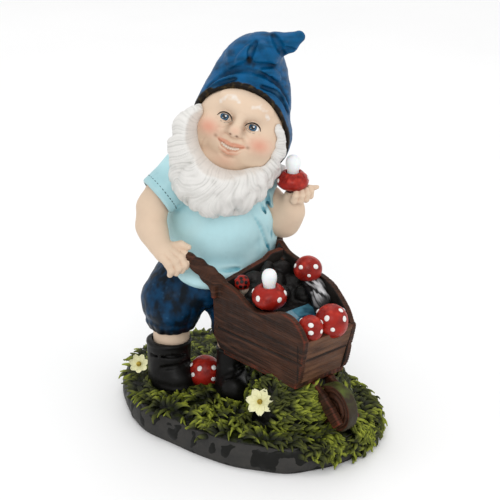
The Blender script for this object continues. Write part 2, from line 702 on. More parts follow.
    def spot(cu, cv, ru, rv, power=1.0):
        return np.exp(-(((u - cu) / ru) ** 2 + ((v - cv) / rv) ** 2)) * front * power
    for s in (-1, 1):
        col = lerp3(col, PINK, np.clip(spot(s * 20.5, -11.0, 8.0, 6.0, 0.72), 0, 1))
        col = lerp3(col, A(*srgb(178, 156, 136)), np.clip(spot(s * 11.3, 5.4, 8, 3.4, 0.5), 0, 1))
        col = lerp3(col, A(*srgb(160, 132, 110)), np.clip(spot(s * 6.4, -5.4, 1.9, 3.2, 0.55) + spot(s * 4.8, -0.6, 1.8, 4.6, 0.4), 0, 1))
        col = lerp3(col, A(*srgb(120, 84, 66)), np.clip(spot(s * 13.0, -15.2, 1.5, 1.3, 0.5), 0, 1))
        b = brows[0 if s < 0 else 1]
        col = lerp3(col, WHITE * 1.02, step(1.6, -0.2, line_dist(p, b, [1.0, 2.0, 1.9, 0.9]) + 0.6 * noise(p, 1.6, 9)) * 0.62)
    col = lerp3(col, PINK, np.clip(spot(0, -6.2, 4.0, 3.2, 0.28) + spot(0, -31, 8, 4, 0.25), 0, 1))
    col = lerp3(col, A(*srgb(96, 50, 42)), step(2.3, 1.5, line_dist(p, gape)) * step(0.0, 0.7, cave) * 0.9)
    lipd = np.minimum(line_dist(p, up, [0.4, 0.9, 1.2, 1.1, 1.2, 0.9, 0.4]), line_dist(p, dn, [0.4, 1.1, 1.6, 1.1, 0.4]))
    col = lerp3(col, A(*srgb(204, 132, 106)), step(1.3, 0.2, lipd) * 0.8)
    col = lerp3(col, A(*srgb(96, 50, 42)), np.clip(0, 0, 0.85) * step(0.2, 1.2, cave))
    for s in (-1, 1):
        col = lerp3(col, A(*srgb(96, 60, 46)), np.clip(spot(s * 2.6, -9.6, 1.1, 0.8, 0.95), 0, 1))
    return piece("head_sculpt", p, q, M_SKIN, replaces=("head",), slot="skin", col=col)


def eye_mesh(u):
    """A painted eye: a shallow dome, its pattern worked out in the eye's own plane."""
    c = on_face(u, 0, -6.2)
    r = 6.18
    nr, na = 56, 96
    rad = np.linspace(0.0, 5.5, nr)[1:]
    ang = np.arange(na) * 2 * math.pi / na
    look = A(0.0, 0.0)
    P = [A(0, 0)] + [A(a * math.cos(t), a * math.sin(t)) for a in rad for t in ang]
    P = np.array(P)
    out = c + P[:, :1] * FX + P[:, 1:] * FY + np.sqrt(np.maximum(r * r - (P ** 2).sum(1), 0.1))[:, None] * FZ
    F = []
    for k in range(nr - 2):
        for j in range(na):
            j2 = (j + 1) % na
            F.append((1 + k * na + j, 1 + (k + 1) * na + j, 1 + (k + 1) * na + j2, 1 + k * na + j2))
    for j in range(na):
        F.append((0, 1 + j, 1 + (j + 1) % na, 1 + (j + 1) % na))
    s = 1 if u > 0 else -1
    x, y = P[:, 0], P[:, 1]
    ir = np.hypot(x + 0.5, y - 0.25)
    th = np.arctan2(y, x)
    col = np.tile(WHITE, (len(P), 1))
    col = lerp3(col, A(*srgb(206, 196, 190)), step(3.4, 5.4, np.hypot(x, y)) * 0.6)
    iris = lerp3(A(*srgb(66, 146, 190)) + 0 * col, A(*srgb(10, 40, 70)), np.clip(0.5 + 0.5 * np.sin(th * 17) * 0.4 + (ir - 1.8) * 0.35, 0, 1))
    col = lerp3(col, iris, step(3.25, 3.05, ir))
    col = lerp3(col, A(*srgb(8, 18, 32)), step(2.6, 2.95, ir) * step(3.4, 3.15, ir))
    col = lerp3(col, A(*srgb(6, 6, 8)), step(2.0, 1.75, ir))
    col = lerp3(col, A(*srgb(14, 12, 12)), step(1.1, 2.3, y + 0.12 * x * x * 0 - (1.25 - 0.05 * x * x)) * 0.9)
    col = lerp3(col, A(1, 1, 1), step(0.62, 0.45, np.hypot(x - 0.35, y - 0.95)))
    col = lerp3(col, A(0.8, 0.85, 0.9), step(0.4, 0.25, np.hypot(x + 1.4, y + 0.8)) * 0.7)
    return out, np.array(F), col


def build_eyes():
    m = painted("eye_paint", (0.08, 0.16), 0.0, 100, 600, 0.0, coat=0.8)
    for tag, u in (("right", EYES[0]), ("left", EYES[1])):
        p, q, col = eye_mesh(u)
        piece_mixed(tag + "_eye", p, q, m, slot="lens_white", col=col)
    lash = []
    for u in EYES:
        o = 1 if u > 0 else -1
        pts = smooth_curve([on_face(u + a, b, c) for a, b, c in ((-6.3, -1.0, 0.1), (-4.5, 1.9, 0.8), (-1.6, 3.45, 1.35), (1.6, 3.45, 1.35), (4.5, 1.9, 0.7), (6.3, -0.9, 0.0))], 40)
        lash.append(sweep(pts, 0.16 + 0.42 * np.sin(np.linspace(0, math.pi, 40)) ** 0.6, 8))
        pts = smooth_curve([on_face(u + a, b, c) for a, b, c in ((-5.6, -1.3, 0.0), (-3.0, -3.3, 0.4), (0, -3.9, 0.55), (3.0, -3.3, 0.4), (5.6, -1.2, 0.0))], 24)
        lash.append(sweep(pts, np.full(24, 0.09), 6))
    p, q = merge(lash)
    piece_mixed("eyelid_lines", p, q, M_BOOT, slot="boot_black", col=np.tile(A(*srgb(30, 22, 20)), (len(p), 1)))
    # upper teeth, a small row
    teeth = Field(on_face(0, -19, 0) - 14, on_face(0, -19, 0) + 14, 0.25)
    for a in (-8.2, -6.4, -4.6, -2.8, -0.95, 0.95, 2.8, 4.6, 6.4, 8.2):
        teeth.add(egg(on_face(a, -20.2 + 0.036 * a * a, 0.95 - 0.014 * a * a), (1.0, 1.35, 0.9), FACE), 0.15)
    p, q, n = sculpt(teeth)
    piece("teeth", p, q, M_DOT, slot="lens_white", col=np.tile(A(*srgb(226, 214, 198)), (len(p), 1)))


# ------------------------------------------------------------------ hat
HAT = [((19.5, 33, 229), (0.45, 0.60, 0.66), 46.0), ((24.5, 31.5, 240.5), (0.40, 0.42, 0.81), 42.5), ((29.0, 28.5, 253), (0.28, 0.15, 0.95), 35.5),
       ((34.0, 27, 271), (0.14, -0.12, 0.98), 28.0), ((37.5, 21.5, 287), (0.30, -0.50, 0.81), 18.9), ((42.6, 13.8, 294.8), (0.56, -0.60, 0.57), 12.4),
       ((49.3, 7.6, 298.2), (0.72, -0.62, 0.30), 8.2), ((56.2, 1.8, 300.4), (0.76, -0.62, 0.20), 3.6)]


BRIM_C, BRIM_N = A(21.5, 32, 226), (0.797, 0.537, 0.274)
HAT_ROLLS = [([(-2.6, 44, 257), (1.2, 36.0, 266.0), (6.4, 27.8, 271.5), (12.0, 18.4, 275.0), (18.6, 9.6, 275.2), (26.2, 2.4, 270.8), (35.0, -1.4, 259.6), (42, -1, 246)], 2.2),
             ([(33.4, 5.0, 287.0), (29.6, 8.2, 293.6), (27.8, 13.2, 298.6)], 2.0), ([(12.0, 22.0, 286.0), (16.0, 18.0, 292.5), (21.6, 17.6, 296.5)], 2.2),
             ([(19.0, 9.0, 281.0), (27.0, 4.8, 280.5), (35.0, 2.5, 274.5)], 2.0)]
HAT_CREASES = [([(-2.6, 41.0, 265.0), (0.4, 34.8, 272.4), (4.6, 26.6, 278.8), (10.0, 16.8, 282.4), (16.8, 8.6, 282.0), (25.0, 2.2, 277.4), (34.6, -1.0, 268.0), (42.0, -1.4, 254.0)], 1.8),
               ([(15.6, 12.4, 289.6), (15.2, 12.6, 287.4), (11.0, 15.6, 285.4), (5.8, 24.0, 281.0)], 1.9), ([(15.4, 12.2, 288.0), (18.2, 8.6, 286.2), (24.6, 4.6, 285.6), (32.6, 4.0, 284.0)], 1.6),
               ([(15.6, 12.8, 290.0), (19.6, 15.4, 295.4), (25.6, 17.6, 300.0)], 1.5), ([(37.6, 11.4, 304.4), (37.0, 6.4, 300.0), (38.6, 3.8, 294.4), (43.0, 4.6, 288.0)], 2.3),
               ([(44, 6, 292), (49, 1.0, 292), (54, -2.0, 295)], 1.2), ([(-1.4, 43.4, 260.6), (3.6, 33.4, 268.0), (10.4, 21.4, 273.6)], 0.9), ([(22.0, 5.8, 268.6), (31.6, -0.6, 263.4), (40.0, -2.2, 248.0)], 0.9)]
HAT_DARK = [((15.2, 12.6, 288.2), 2.6), ((12.2, 15.0, 286.0), 1.8), ((17.2, 9.6, 286.6), 2.0), ((15.8, 13.6, 291.0), 1.4), ((38.4, 4.2, 294.6), 2.6), ((37.0, 6.6, 299.6), 1.8)]


def drop_on(F, pts, sink):
    """Carry points along the front-to-back line of the figure onto the surface of F, then sink them."""
    d = -A(*OUT)
    got = []
    for pt in pts:
        at = None
        for t in np.arange(-14, 44, 0.35):
            q = A(*pt) + d * t
            i = np.round((q - F.lo) / F.h).astype(int)
            if (i >= 0).all() and (i < np.array(F.d.shape)).all() and F.d[tuple(i)] < 0:
                at = q
                break
        if at is not None:
            got.append(tuple(at + d * sink))
    return got if len(got) > 1 or len(pts) == 1 and got else [tuple(A(*v)) for v in pts]


def build_hat():
    F = Field((-26, -18, 178), (74, 84, 308), 0.75)
    F.add(egg(HEAD_C, (38.2, 38.4, 40.6)))
    spine = [((27.5, 36.9, 234.7), 36.2), ((37.5, 42.4, 243.6), 34.4), ((41.0, 43.2, 254.2), 30.8), ((41.4, 40.9, 265.2), 27.2), ((39.4, 35.4, 276.1), 22.4), ((40.3, 26.5, 286.2), 15.6), ((44.7, 16.8, 292.8), 10.2), ((50.6, 8.4, 295.8), 7.4), ((55.6, 2.8, 300.2), 5.0)]
    for k in range(len(spine) - 1):
        F.add(bone(spine[k][0], spine[k + 1][0], spine[k][1], spine[k + 1][1]), 3.0 if k < 4 else 2.0)
    F.add(bone(spine[0][0], (31.0, 33.6, 221.0), spine[0][1], 34.6), 3.0)
    # the fold rolls: soft raised bands, pressed creases between them
    rolls = [(drop_on(F, pts, 1.3), rr) for pts, rr in HAT_ROLLS]
    creases = [(drop_on(F, pts, -0.2), rr) for pts, rr in HAT_CREASES]
    darks = [(drop_on(F, [at], 0.5)[0], r) for at, r in HAT_DARK]
    for pts, rr in rolls:
        c = smooth_curve(pts, 16)
        for k in range(15):
            F.add(bone(c[k], c[k + 1], rr * (0.35 + 0.65 * math.sin(math.pi * (k + 0.5) / 16)), rr * (0.35 + 0.65 * math.sin(math.pi * min(1, (k + 1.5) / 16)))), 3.5)
    for pts, rr in creases:
        c = smooth_curve(pts, 16)
        for k in range(15):
            F.cut(bone(c[k], c[k + 1], rr * (0.3 + 0.7 * math.sin(math.pi * (k + 0.5) / 16)), rr * (0.3 + 0.7 * math.sin(math.pi * min(1, (k + 1.5) / 16)))), 2.6)
    # mouth of the hat: it sits back on the head like a hood
    n0 = unit(BRIM_N)
    F.limit(lambda x, y, z: -((x - BRIM_C[0]) * n0[0] + (y - BRIM_C[1]) * n0[1] + (z - BRIM_C[2]) * n0[2]) + 0.5 * np.sin(z * 0.21 + x * 0.13), 2.2)
    F.cut(egg(HEAD_C, HEAD_R + 0.35), 0.8)

    def shape(p, n):
        d = (p - BRIM_C) @ n0
        inner = step(2.0, 0.5, np.abs(((p - HEAD_C) / (HEAD_R + 0.35)) ** 2).sum(1) - 1.0) * 0
        amp = step(0, 10, d)
        q = np.stack([p @ unit((0.77, -0.64, 0.0)) * 0.45, p @ unit((-0.6, -0.7, 0.4)) * 0.45, p @ unit((0.25, 0.25, 0.93))], -1)
        return amp * (0.9 * fbm(q, 9, 191, 3) - 0.8 * np.abs(fbm(q, 13, 192, 2)) + 0.3) + 0.18 * fbm(p, 4, 193, 2)
    p, q, n = sculpt(F, shape, 1)
    col, cave = crease_paint(p, q, n, HAT_BLUE, HAT_DEEP, HAT_DRY, 0.8, 12)
    d = (p - BRIM_C) @ n0
    g = np.stack([p @ unit((0.77, -0.64, 0.0)) * 0.3, p @ unit((-0.6, -0.7, 0.4)) * 0.3, p @ unit((0.25, 0.25, 0.93))], -1)
    streak = fbm(g, 3.2, 194, 3)
    col = lerp3(col, HAT_DEEP, np.clip(0.9 * streak, 0, 0.6))
    col = lerp3(col, A(*srgb(12, 92, 146)), np.clip(-1.0 * streak + 0.05, 0, 0.6))
    col = lerp3(col, A(*srgb(122, 128, 132)), np.clip(2.2 * (fbm(g, 5, 195, 3) - 0.40), 0, 0.45) * step(284, 292, p[:, 2]))
    for pts, rr in rolls:
        dd = line_dist(p, [tuple(v) for v in smooth_curve(pts, 12)])
        col = lerp3(col, A(*srgb(96, 146, 176)), step(3.2, 1.2, dd + 1.6 * np.abs(noise(g, 3.0, 199)) + 0.6) * np.clip(0.25 + 0.9 * noise(p, 7, 200), 0, 0.6))
    for pts, rr in creases:
        dd = line_dist(p, [tuple(v) for v in smooth_curve(pts, 12)])
        col = lerp3(col, HAT_DEEP * 0.6, step(3.0, 0.9, dd + 0.5 * noise(g, 3.0, 201)) * 0.7)
    col = lerp3(col, A(*srgb(16, 16, 17)), np.clip(cave * 0.9 - 0.55, 0, 0.85))
    for at, r in darks:
        col = lerp3(col, A(*srgb(10, 10, 11)), np.clip(1.5 * np.exp(-(((p - A(*at)) ** 2).sum(-1)) / r ** 2) + 0.25 * noise(p, 2.5, 196) - 0.2, 0, 0.95))
    inner = (((p - HEAD_C) / (HEAD_R + 1.2)) ** 2).sum(1) < 1
    lip = np.nonzero((n @ n0 < -0.5) & (d < 1.6))[0][::3]
    tree = KDTree(len(lip))
    for i, k in enumerate(lip):
        tree.insert(Vector(p[k]), i)
    tree.balance()
    reach = np.full(len(p), 99.0)
    for k in np.nonzero(d < 9.0)[0]:
        reach[k] = tree.find(Vector(p[k]))[2]
    edge = step(2.4, 1.6, reach + 0.5 * noise(p, 3.5, 197))
    brim = lerp3(BRIM_DARK + 0 * col, BRIM_GOLD, np.clip(-0.05 + 1.2 * fbm(p, 3, 198, 3), 0, 0.6))
    col = lerp3(col, brim, np.clip(edge + inner, 0, 1))
    piece("hat_sculpt", p, q, M_HAT, replaces=("hat",), slot="hat_blue", col=col)


# ------------------------------------------------------------------ beard
BEARD_EGGS = [((-4, 20, 197), (36, 21, 30)), ((-20, 37, 217), (20, 16, 28)), ((39, 27, 204), (18, 16, 25))]


FACE_MID = (-0.5, -10.5)
REACH_A = np.radians([-125, -104, -93, -78, -65, -52, -40, -35, -21, -12, 10, 25, 35, 45, 65.5, 78, 88.5, 100, 112, 124, 145])
REACH_R = A(34, 40, 44, 49, 52, 54, 57, 61, 67, 67, 66, 62, 58, 54, 50.5, 47, 41, 37.5, 35.5, 34.5, 33.5)


def hairline(ang):
    """Distance from the middle of the face at which the hair starts (0 is down)."""
    return 30.6 + 0.6 * math.sin(ang * 5 + 0.7) + 2.2 * math.exp(-((ang + 0.7) / 0.9) ** 2)


def on_masses(u, v, eggs):
    o = EYE_MID + u * FX + v * FY
    best = None
    for c, r in eggs:
        c, r = A(*c), A(*r)
        oo, dd = (o - c) / r, FZ / r
        aa, bb, cc = dd @ dd, 2 * oo @ dd, oo @ oo - 1
        disc = bb * bb - 4 * aa * cc
        tt = (-bb + math.sqrt(disc)) / (2 * aa) if disc > 0 else (-bb / (2 * aa) if disc > -1.2 * aa else None)
        if tt is not None and (best is None or tt > best):
            best = tt
    return o, best


def build_beard():
    F = Field((-46, -12, 158), (64, 70, 262), 0.62)
    for c, r in BEARD_EGGS:
        F.add(egg(c, A(*r) - 1.4), 9)
    rng = np.random.RandomState(7)
    mid = on_face(FACE_MID[0], FACE_MID[1])
    masses = BEARD_EGGS + [(tuple(HEAD_C), tuple(HEAD_R)), ((0, 30, 190), (34, 26, 32))]
    for ring, (off0, off1, count, lift, width) in enumerate(((15, 0, 23, 0.2, 7.6), (8, -8, 20, 1.1, 7.0), (0.0, -17, 19, 1.5, 5.6))):
        for k in range(count):
            t = (k + 0.5) / count * 2 - 1 + rng.uniform(-0.03, 0.03)
            ang = t * math.radians(106 if t < 0 else (134 if ring else 96))
            r0 = hairline(ang) + off0
            full = float(np.interp(ang, REACH_A, REACH_R)) - 3.0
            reach = full + off1 + rng.uniform(-2.0, 2.0)
            bend = rng.uniform(-0.12, 0.12) + 0.14 * math.sin(k * 1.9 + ring)
            rise = lift + rng.uniform(-0.6, 0.9)
            wide = width * min(1.0, 0.35 + max(0.0, full - 30.0) / 20.0)
            if ang > 1.65:
                rise = min(rise, lift) - 0.9
            if reach < r0 + 5:
                if ring == 0:
                    continue
                r0 = hairline(ang) + (1.0 if ring == 2 else 2.0)
                reach = max(r0 + 3.0, full + (0 if ring == 1 else -2))
            pts, rad = [], []
            steps = 9
            for s in range(steps):
                f = s / (steps - 1)
                rr = r0 + (reach - r0) * f
                a2 = ang * (1 - 0.10 * f) + bend * math.sin(f * 3.6) * 0.7
                u, v = FACE_MID[0] + rr * math.sin(a2), FACE_MID[1] - rr * math.cos(a2)
                o, best = on_masses(u, v, masses)
                if best is None:
                    break
                w = rise - 0.4 * f + 0.7 * math.sin(f * math.pi)
                if f == 0:
                    w -= 2.2
                pts.append(o + (best + w - wide * 0.62) * FZ)
                rad.append(wide * (0.62 + 0.42 * math.sin(math.pi * min(1, 0.15 + f * 0.85))) * (1 - 0.55 * f ** 3))
            if len(pts) > 3:
                F.chain(pts, rad, 2.2, 1.5)
    F.cut(egg(HEAD_C, HEAD_R + 0.1), 0.8)
    # the face itself stays bare: a round opening that flares outwards
    o, w = A(-5.07, 5.0, 239.11), unit(A(-0.587, -0.70, 0.407))

    def opening(x, y, z):
        x, y, z = x - o[0], y - o[1], z - o[2]
        s = x * w[0] + y * w[1] + z * w[2]
        r = np.sqrt(np.maximum(x * x + y * y + z * z - s * s, 1e-6))
        return np.maximum((r - 28.3 - 0.5 * np.maximum(s + 17, 0)) * 0.88, -(s + 24))
    F.cut(Shape(A(-46, -40, 190), A(50, 50, 275), opening), 1.4)
    F.add(egg(HEAD_C - 3 * FZ, HEAD_R - 6))

    def flow(p):
        d = p - mid
        u, v = d @ FX, d @ FY
        th = np.arctan2(u, -v)
        r = np.hypot(u, v)
        warp = 0.20 * noise(p, 22, 41) + 0.05 * noise(p, 9, 42) + 0.10 * np.sin(r * 0.13 + 3 * noise(p, 34, 44))
        a = (th + warp)
        return 0.35 * np.sin(a * 24) + 0.40 * np.sin(a * 61 + 1.3) + 0.35 * np.sin(a * 97 + 4 * noise(p, 30, 45)), r
    p, q, n = sculpt(F, lambda p, n: 0.30 * flow(p)[0] * step(30, 36, flow(p)[1]) + 0.05 * fbm(p, 2.2, 43, 2))
    s, r = flow(p)
    sm = relax(p, q, 8, 0.6)
    cave = ((sm - p) * n).sum(1)
    col = np.tile(BEARD, (len(p), 1))
    col = lerp3(col, BEARD_GREY, np.clip(cave * 0.95 + 0.04 - 0.10 * s, 0, 0.75))
    near = step(4, 0, r - 32)
    col = lerp3(col, A(*srgb(216, 210, 202)), near * 0.3)
    g = noise(np.stack([s * 2.0, r * 0.05, p[:, 2] * 0.03], -1), 1.0, 46)
    col = lerp3(col, A(*srgb(176, 176, 170)), np.clip(-0.5 * g - 0.05, 0, 0.3))
    return piece("beard_sculpt", p, q, M_BEARD, replaces=("beard",), slot="beard_white", col=col)


# ------------------------------------------------------------------ shirt, arms, legs
SLEEVES = [((-18, 48, 197), (-43, 54.5, 180.5), 19.0, 16.4), ((28, 45, 188), (45.5, 25, 168.5), 18.5, 16.2)]


def crease_paint(p, q, n, base, deep, pale, gain=0.9, rounds=10):
    sm = relax(p, q, rounds, 0.6)
    cave = ((sm - p) * n).sum(1)
    col = np.tile(base, (len(p), 1))
    col = lerp3(col, deep, np.clip(cave * gain, 0, 0.9))
    col = lerp3(col, pale, np.clip(-cave * gain * 0.7, 0, 0.55))
    return col, cave


def build_shirt():
    F = Field((-66, -2, 92), (68, 92, 214), 0.8)
    F.add(egg((7, 46, 145), (39.6, 40.6, 46.6)))
    F.add(egg((4, 46, 178), (30, 27, 22)), 12)
    F.add(egg((1, 44, 119), (36.5, 45.0, 16), np.array([[0.766, -0.643, 0], [0.643, 0.766, 0], [0, 0, 1.0]])), 7)
    F.chain([(30, 22.5, 172), (31, 21, 160), (31.5, 20.5, 152), (33, 18, 138), (34, 17, 131)], [12.5, 12.8, 12.4, 10.6, 8.8], 6, 5)
    F.add(egg((20, 17, 127), (20, 12.5, 14)), 6)
    for a, b, ra, rb in SLEEVES:
        a, b = A(*a), A(*b)
        F.add(ball(a, ra - 0.6), 6)
        F.add(drum(a, b, ra - 0.4, rb - 0.2, 1.6), 5)
        n = unit(b - a)
        # a rolled hem round the opening, and the opening itself
        F.add(drum(b - n * 4.2, b - n * 0.6, rb - 0.1, rb - 0.1, 1.4), 0.8)
        F.cut(drum(b - n * 3.6, b + n * 6, rb - 2.6, rb - 2.0, 0.5), 0.6)
    # drawn folds: grooves under the arms, across the chest and at the waist
    grooves = [([(-27, 34, 186), (-31, 28, 174), (-31, 21, 160), (-27, 15.5, 146)], 2.2), ([(-33, 40, 178), (-33.5, 34, 160), (-31.5, 27, 140)], 1.5),
               ([(38, 22, 176), (42, 17, 160), (43, 14, 146), (41, 12, 130)], 2.0), ([(30, 12, 172), (37, 8.5, 158), (40, 8, 144)], 1.3),
               ([(-30, 50, 190), (-37, 51, 186), (-40, 47, 178)], 1.3), ([(40, 40, 185), (46, 35, 178), (50, 30, 172)], 1.3),
               ([(-25, 74, 188), (-28, 80, 168), (-24, 84, 148)], 1.8), ([(30, 76, 182), (36, 78, 164), (35, 78, 146)], 1.8), ([(4, 74, 196), (2, 86, 176), (6, 88.5, 150)], 1.2),
               ([(-22, 10.5, 130), (-12, 7.6, 126), (0, 6.6, 124)], 0.9), ([(26, 10, 132), (34, 14, 126), (41, 24, 122)], 1.1)]
    for pts, r in grooves:
        c = smooth_curve(pts, 12)
        c = c + 0.0
        rr = r * (0.35 + 0.65 * np.sin(np.linspace(0.15, math.pi - 0.1, 12)))
        for k in range(11):
            F.cut(bone(c[k], c[k + 1], rr[k], rr[k + 1]), 2.6)
    for pts, r in (([(12, 9.0, 172), (20, 8.0, 158), (26, 7.0, 144), (30, 7.6, 132)], 1.2), ([(22, 9.0, 176), (28, 10.0, 164), (29.5, 9.6, 150), (33, 9.6, 138)], 1.3), ([(27, 12, 182), (32, 13, 172), (35, 13, 160)], 1.1),
                   ([(-22, 22, 182), (-27, 20, 168), (-28, 17, 152), (-24, 12, 138)], 1.1)):
        c = smooth_curve(pts, 12)
        for k in range(11):
            F.cut(bone(c[k], c[k + 1], r * (0.3 + 0.7 * math.sin(math.pi * (k + 0.5) / 12)), r * (0.3 + 0.7 * math.sin(math.pi * min(1, (k + 1.5) / 12)))), 1.8)
    # hem: the shirt ends in a turned edge over the trousers
    hem = lambda x, y, z: (109.5 + 0.03 * (x - 7) + 1.8 * np.sin(np.arctan2(y - 46, x - 7) * 5 + 0.6)) - z
    F.limit(hem, 1.2)
    p, q, n = sculpt(F, lambda p, n: 0.55 * fbm(p, 24, 51, 2) + 0.12 * fbm(p, 6, 52, 2), 2)
    col, cave = crease_paint(p, q, n, AQUA, AQUA_DEEP, AQUA_PALE, 1.25, 14)
    low = step(118, 100, p[:, 2])
    col = lerp3(col, AQUA_DEEP, np.clip(0.10 * low + 0.5 * (fbm(p, 20, 53, 3) - 0.25), 0, 0.4))
    side = np.exp(-((p[:, 0] - 34) / 8) ** 2) * step(26, 14, p[:, 1]) * step(110, 125, p[:, 2]) * step(184, 170, p[:, 2])
    streak = np.clip(2.2 * noise(p * A(1, 1, 0.25), 3.2, 54) - 0.3, 0, 1)
    col = lerp3(col, A(*srgb(34, 128, 152)), np.clip(side * streak, 0, 0.8))
    # satin patches
    col = lerp3(col, AQUA_PALE, np.clip(0.9 * (fbm(p, 30, 57, 2) - 0.18), 0, 0.5) * (1 - low))
    for a, b, ra, rb in SLEEVES:
        a, b = A(*a), A(*b)
        d = p - b
        nrm = unit(b - a)
        t = d @ nrm
        rr = np.linalg.norm(d - t[:, None] * nrm, axis=1)
        inside = step(rb - 1.2, rb - 2.4, rr) * (t > -5) * (t < 3)
        col = lerp3(col, A(*srgb(30, 74, 84)), inside * 0.8)
        col = lerp3(col, col * A(0.70, 0.76, 0.77), step(rb + 6, rb + 1, rr) * step(-24, -10, t) * 0.8)
    piece("shirt_sculpt", p, q, M_SHIRT, replaces=("shirt",), slot="shirt_aqua", col=col)
    # dark stitches along the right sleeve's hem
    st = []
    a, b, ra, rb = SLEEVES[0]
    a, b = A(*a), A(*b)
    m = axes_about(b - a)
    for k in range(34):
        t = k / 34 * 2 * math.pi
        c0 = b - m[2] * 6.2 + (rb + 0.35) * (math.cos(t) * m[0] + math.sin(t) * m[1])
        c1 = b - m[2] * 6.2 + (rb + 0.35) * (math.cos(t + 0.09) * m[0] + math.sin(t + 0.09) * m[1])
        st.append(sweep([c0, (c0 + c1) / 2, c1], [0.28, 0.34, 0.28], 6))
    a, b, ra, rb = SLEEVES[1]
    a, b = A(*a), A(*b)
    m = axes_about(b - a)
    for k in range(34):
        t = k / 34 * 2 * math.pi
        c0 = b - m[2] * 6.2 + (rb + 0.45) * (math.cos(t) * m[0] + math.sin(t) * m[1])
        c1 = b - m[2] * 6.2 + (rb + 0.45) * (math.cos(t + 0.09) * m[0] + math.sin(t + 0.09) * m[1])
        st.append(sweep([c0, (c0 + c1) / 2, c1], [0.28, 0.34, 0.28], 6))
    p, q = merge(st)
    piece_mixed("sleeve_stitches", p, q, M_BOOT, slot="boot_black", col=np.tile(A(*srgb(24, 60, 70)), (len(p), 1)))


SHOULDER_R, ELBOW_R, WRIST_R = (-37, 54, 188), (-47.7, 56, 158), (-46.5, 37, 144.5)
SHOULDER_L, ELBOW_L, WRIST_L = (38, 38, 176), (48, 10, 151.5), (49.5, 1, 171)


def skin_paint(p, q, n, warm=0.2):
    sm = relax(p, q, 8, 0.6)
    cave = ((sm - p) * n).sum(1)
    col = np.tile(FLESH, (len(p), 1))
    col = lerp3(col, FLESH_SHADE, np.clip(cave * 1.3 + warm * 0.4 * fbm(p, 14, 61, 2), 0, 0.85))
    return col


def build_arms():
    # right arm, hand closed over the handle
    F = Field((-64, 8, 122), (-22, 78, 202), 0.6)
    F.chain([SHOULDER_R, (-45.2, 56.5, 172), ELBOW_R], [11.4, 11.2, 10.4], 2, 6)
    F.chain([ELBOW_R, (-48.8, 50, 153), (-50.2, 42, 147)], [10.5, 9.8, 7.6], 6, 6)
    F.chain([(-50.2, 42, 147), (-50.6, 35.5, 144)], [7.4, 7.8], 5, 4)
    F.add(egg((-50.4, 32.5, 142.6), (8.6, 9.4, 6.8), rot_about("X", -28)), 4)
    for r0, r1, r2, r3 in (((-44.6, 28.4, 145.6), (-41.6, 22.0, 143.4), (-40.6, 18.4, 138.6), (-42.6, 19.0, 133.8)),
                           ((-48.4, 27.0, 144.8), (-46.2, 20.6, 142.2), (-45.2, 17.4, 136.8), (-46.8, 18.6, 132.0)),
                           ((-52.6, 27.4, 143.6), (-51.2, 21.0, 140.4), (-50.0, 18.4, 135.0), (-51.0, 20.2, 130.6)),
                           ((-56.4, 29.4, 142.0), (-56.0, 23.4, 138.4), (-54.8, 21.4, 133.4), (-55.0, 23.0, 129.6))):
        F.chain([r0, r1, r2, r3], [3.4, 3.1, 2.8, 2.3], 1.0, 1.2)
    F.chain([(-45.0, 33.0, 147.0), (-41.0, 26.6, 149.6), (-38.6, 20.6, 148.8)], [3.7, 3.1, 2.4], 1.6, 1.6)
    p, q, n = sculpt(F, lambda p, n: 0.12 * fbm(p, 9, 62, 2), 1)
    piece("right_arm_sculpt", p, q, M_SKIN, replaces=("right_arm",), slot="skin", col=skin_paint(p, q, n))
    # left arm, raised, palm up under the toadstool
    F = Field((18, -18, 132), (74, 60, 196), 0.6)
    F.chain([SHOULDER_L, (44, 23, 162), ELBOW_L], [13.0, 12.6, 12.6], 2, 6)
    F.chain([ELBOW_L, (50.0, 4.5, 160), WRIST_L], [12.9, 10.6, 8.0], 6, 6)
    F.add(egg((52.4, -0.4, 175.2), (8.6, 7.0, 5.6)), 4)
    for k, (r0, r1, r2, r3) in enumerate((((45.6, -2.2, 174.6), (43.6, -7.2, 174.0), (43.9, -8.6, 178.4), (46.0, -7.2, 181.4)),
                                          ((49.6, -4.2, 173.8), (48.2, -9.2, 173.4), (48.6, -10.6, 178.0), (50.2, -8.8, 181.2)),
                                          ((53.8, -5.0, 173.8), (53.4, -10.0, 173.8), (53.8, -11.0, 178.2), (54.6, -9.0, 181.4)),
                                          ((57.8, -4.6, 174.6), (58.6, -9.0, 175.0), (58.8, -9.8, 178.8), (58.6, -7.8, 181.8)))):
        F.chain([r0, r1, r2, r3], [3.0, 2.7, 2.4, 2.0], 0.9, 1.2)
    F.chain([(57.5, -1.4, 176.2), (62.5, -4.4, 178.4), (67.6, -7.4, 179.4)], [3.4, 2.7, 1.7], 1.6, 1.4)
    F.cut(drum((49.4, 0.8, 176.8), (49.4, 0.8, 196), 4.8, 4.8), 0.4)
    p, q, n = sculpt(F, lambda p, n: 0.12 * fbm(p, 9, 63, 2), 1)
    piece("left_arm_sculpt", p, q, M_SKIN, replaces=("left_arm",), slot="skin", col=skin_paint(p, q, n))


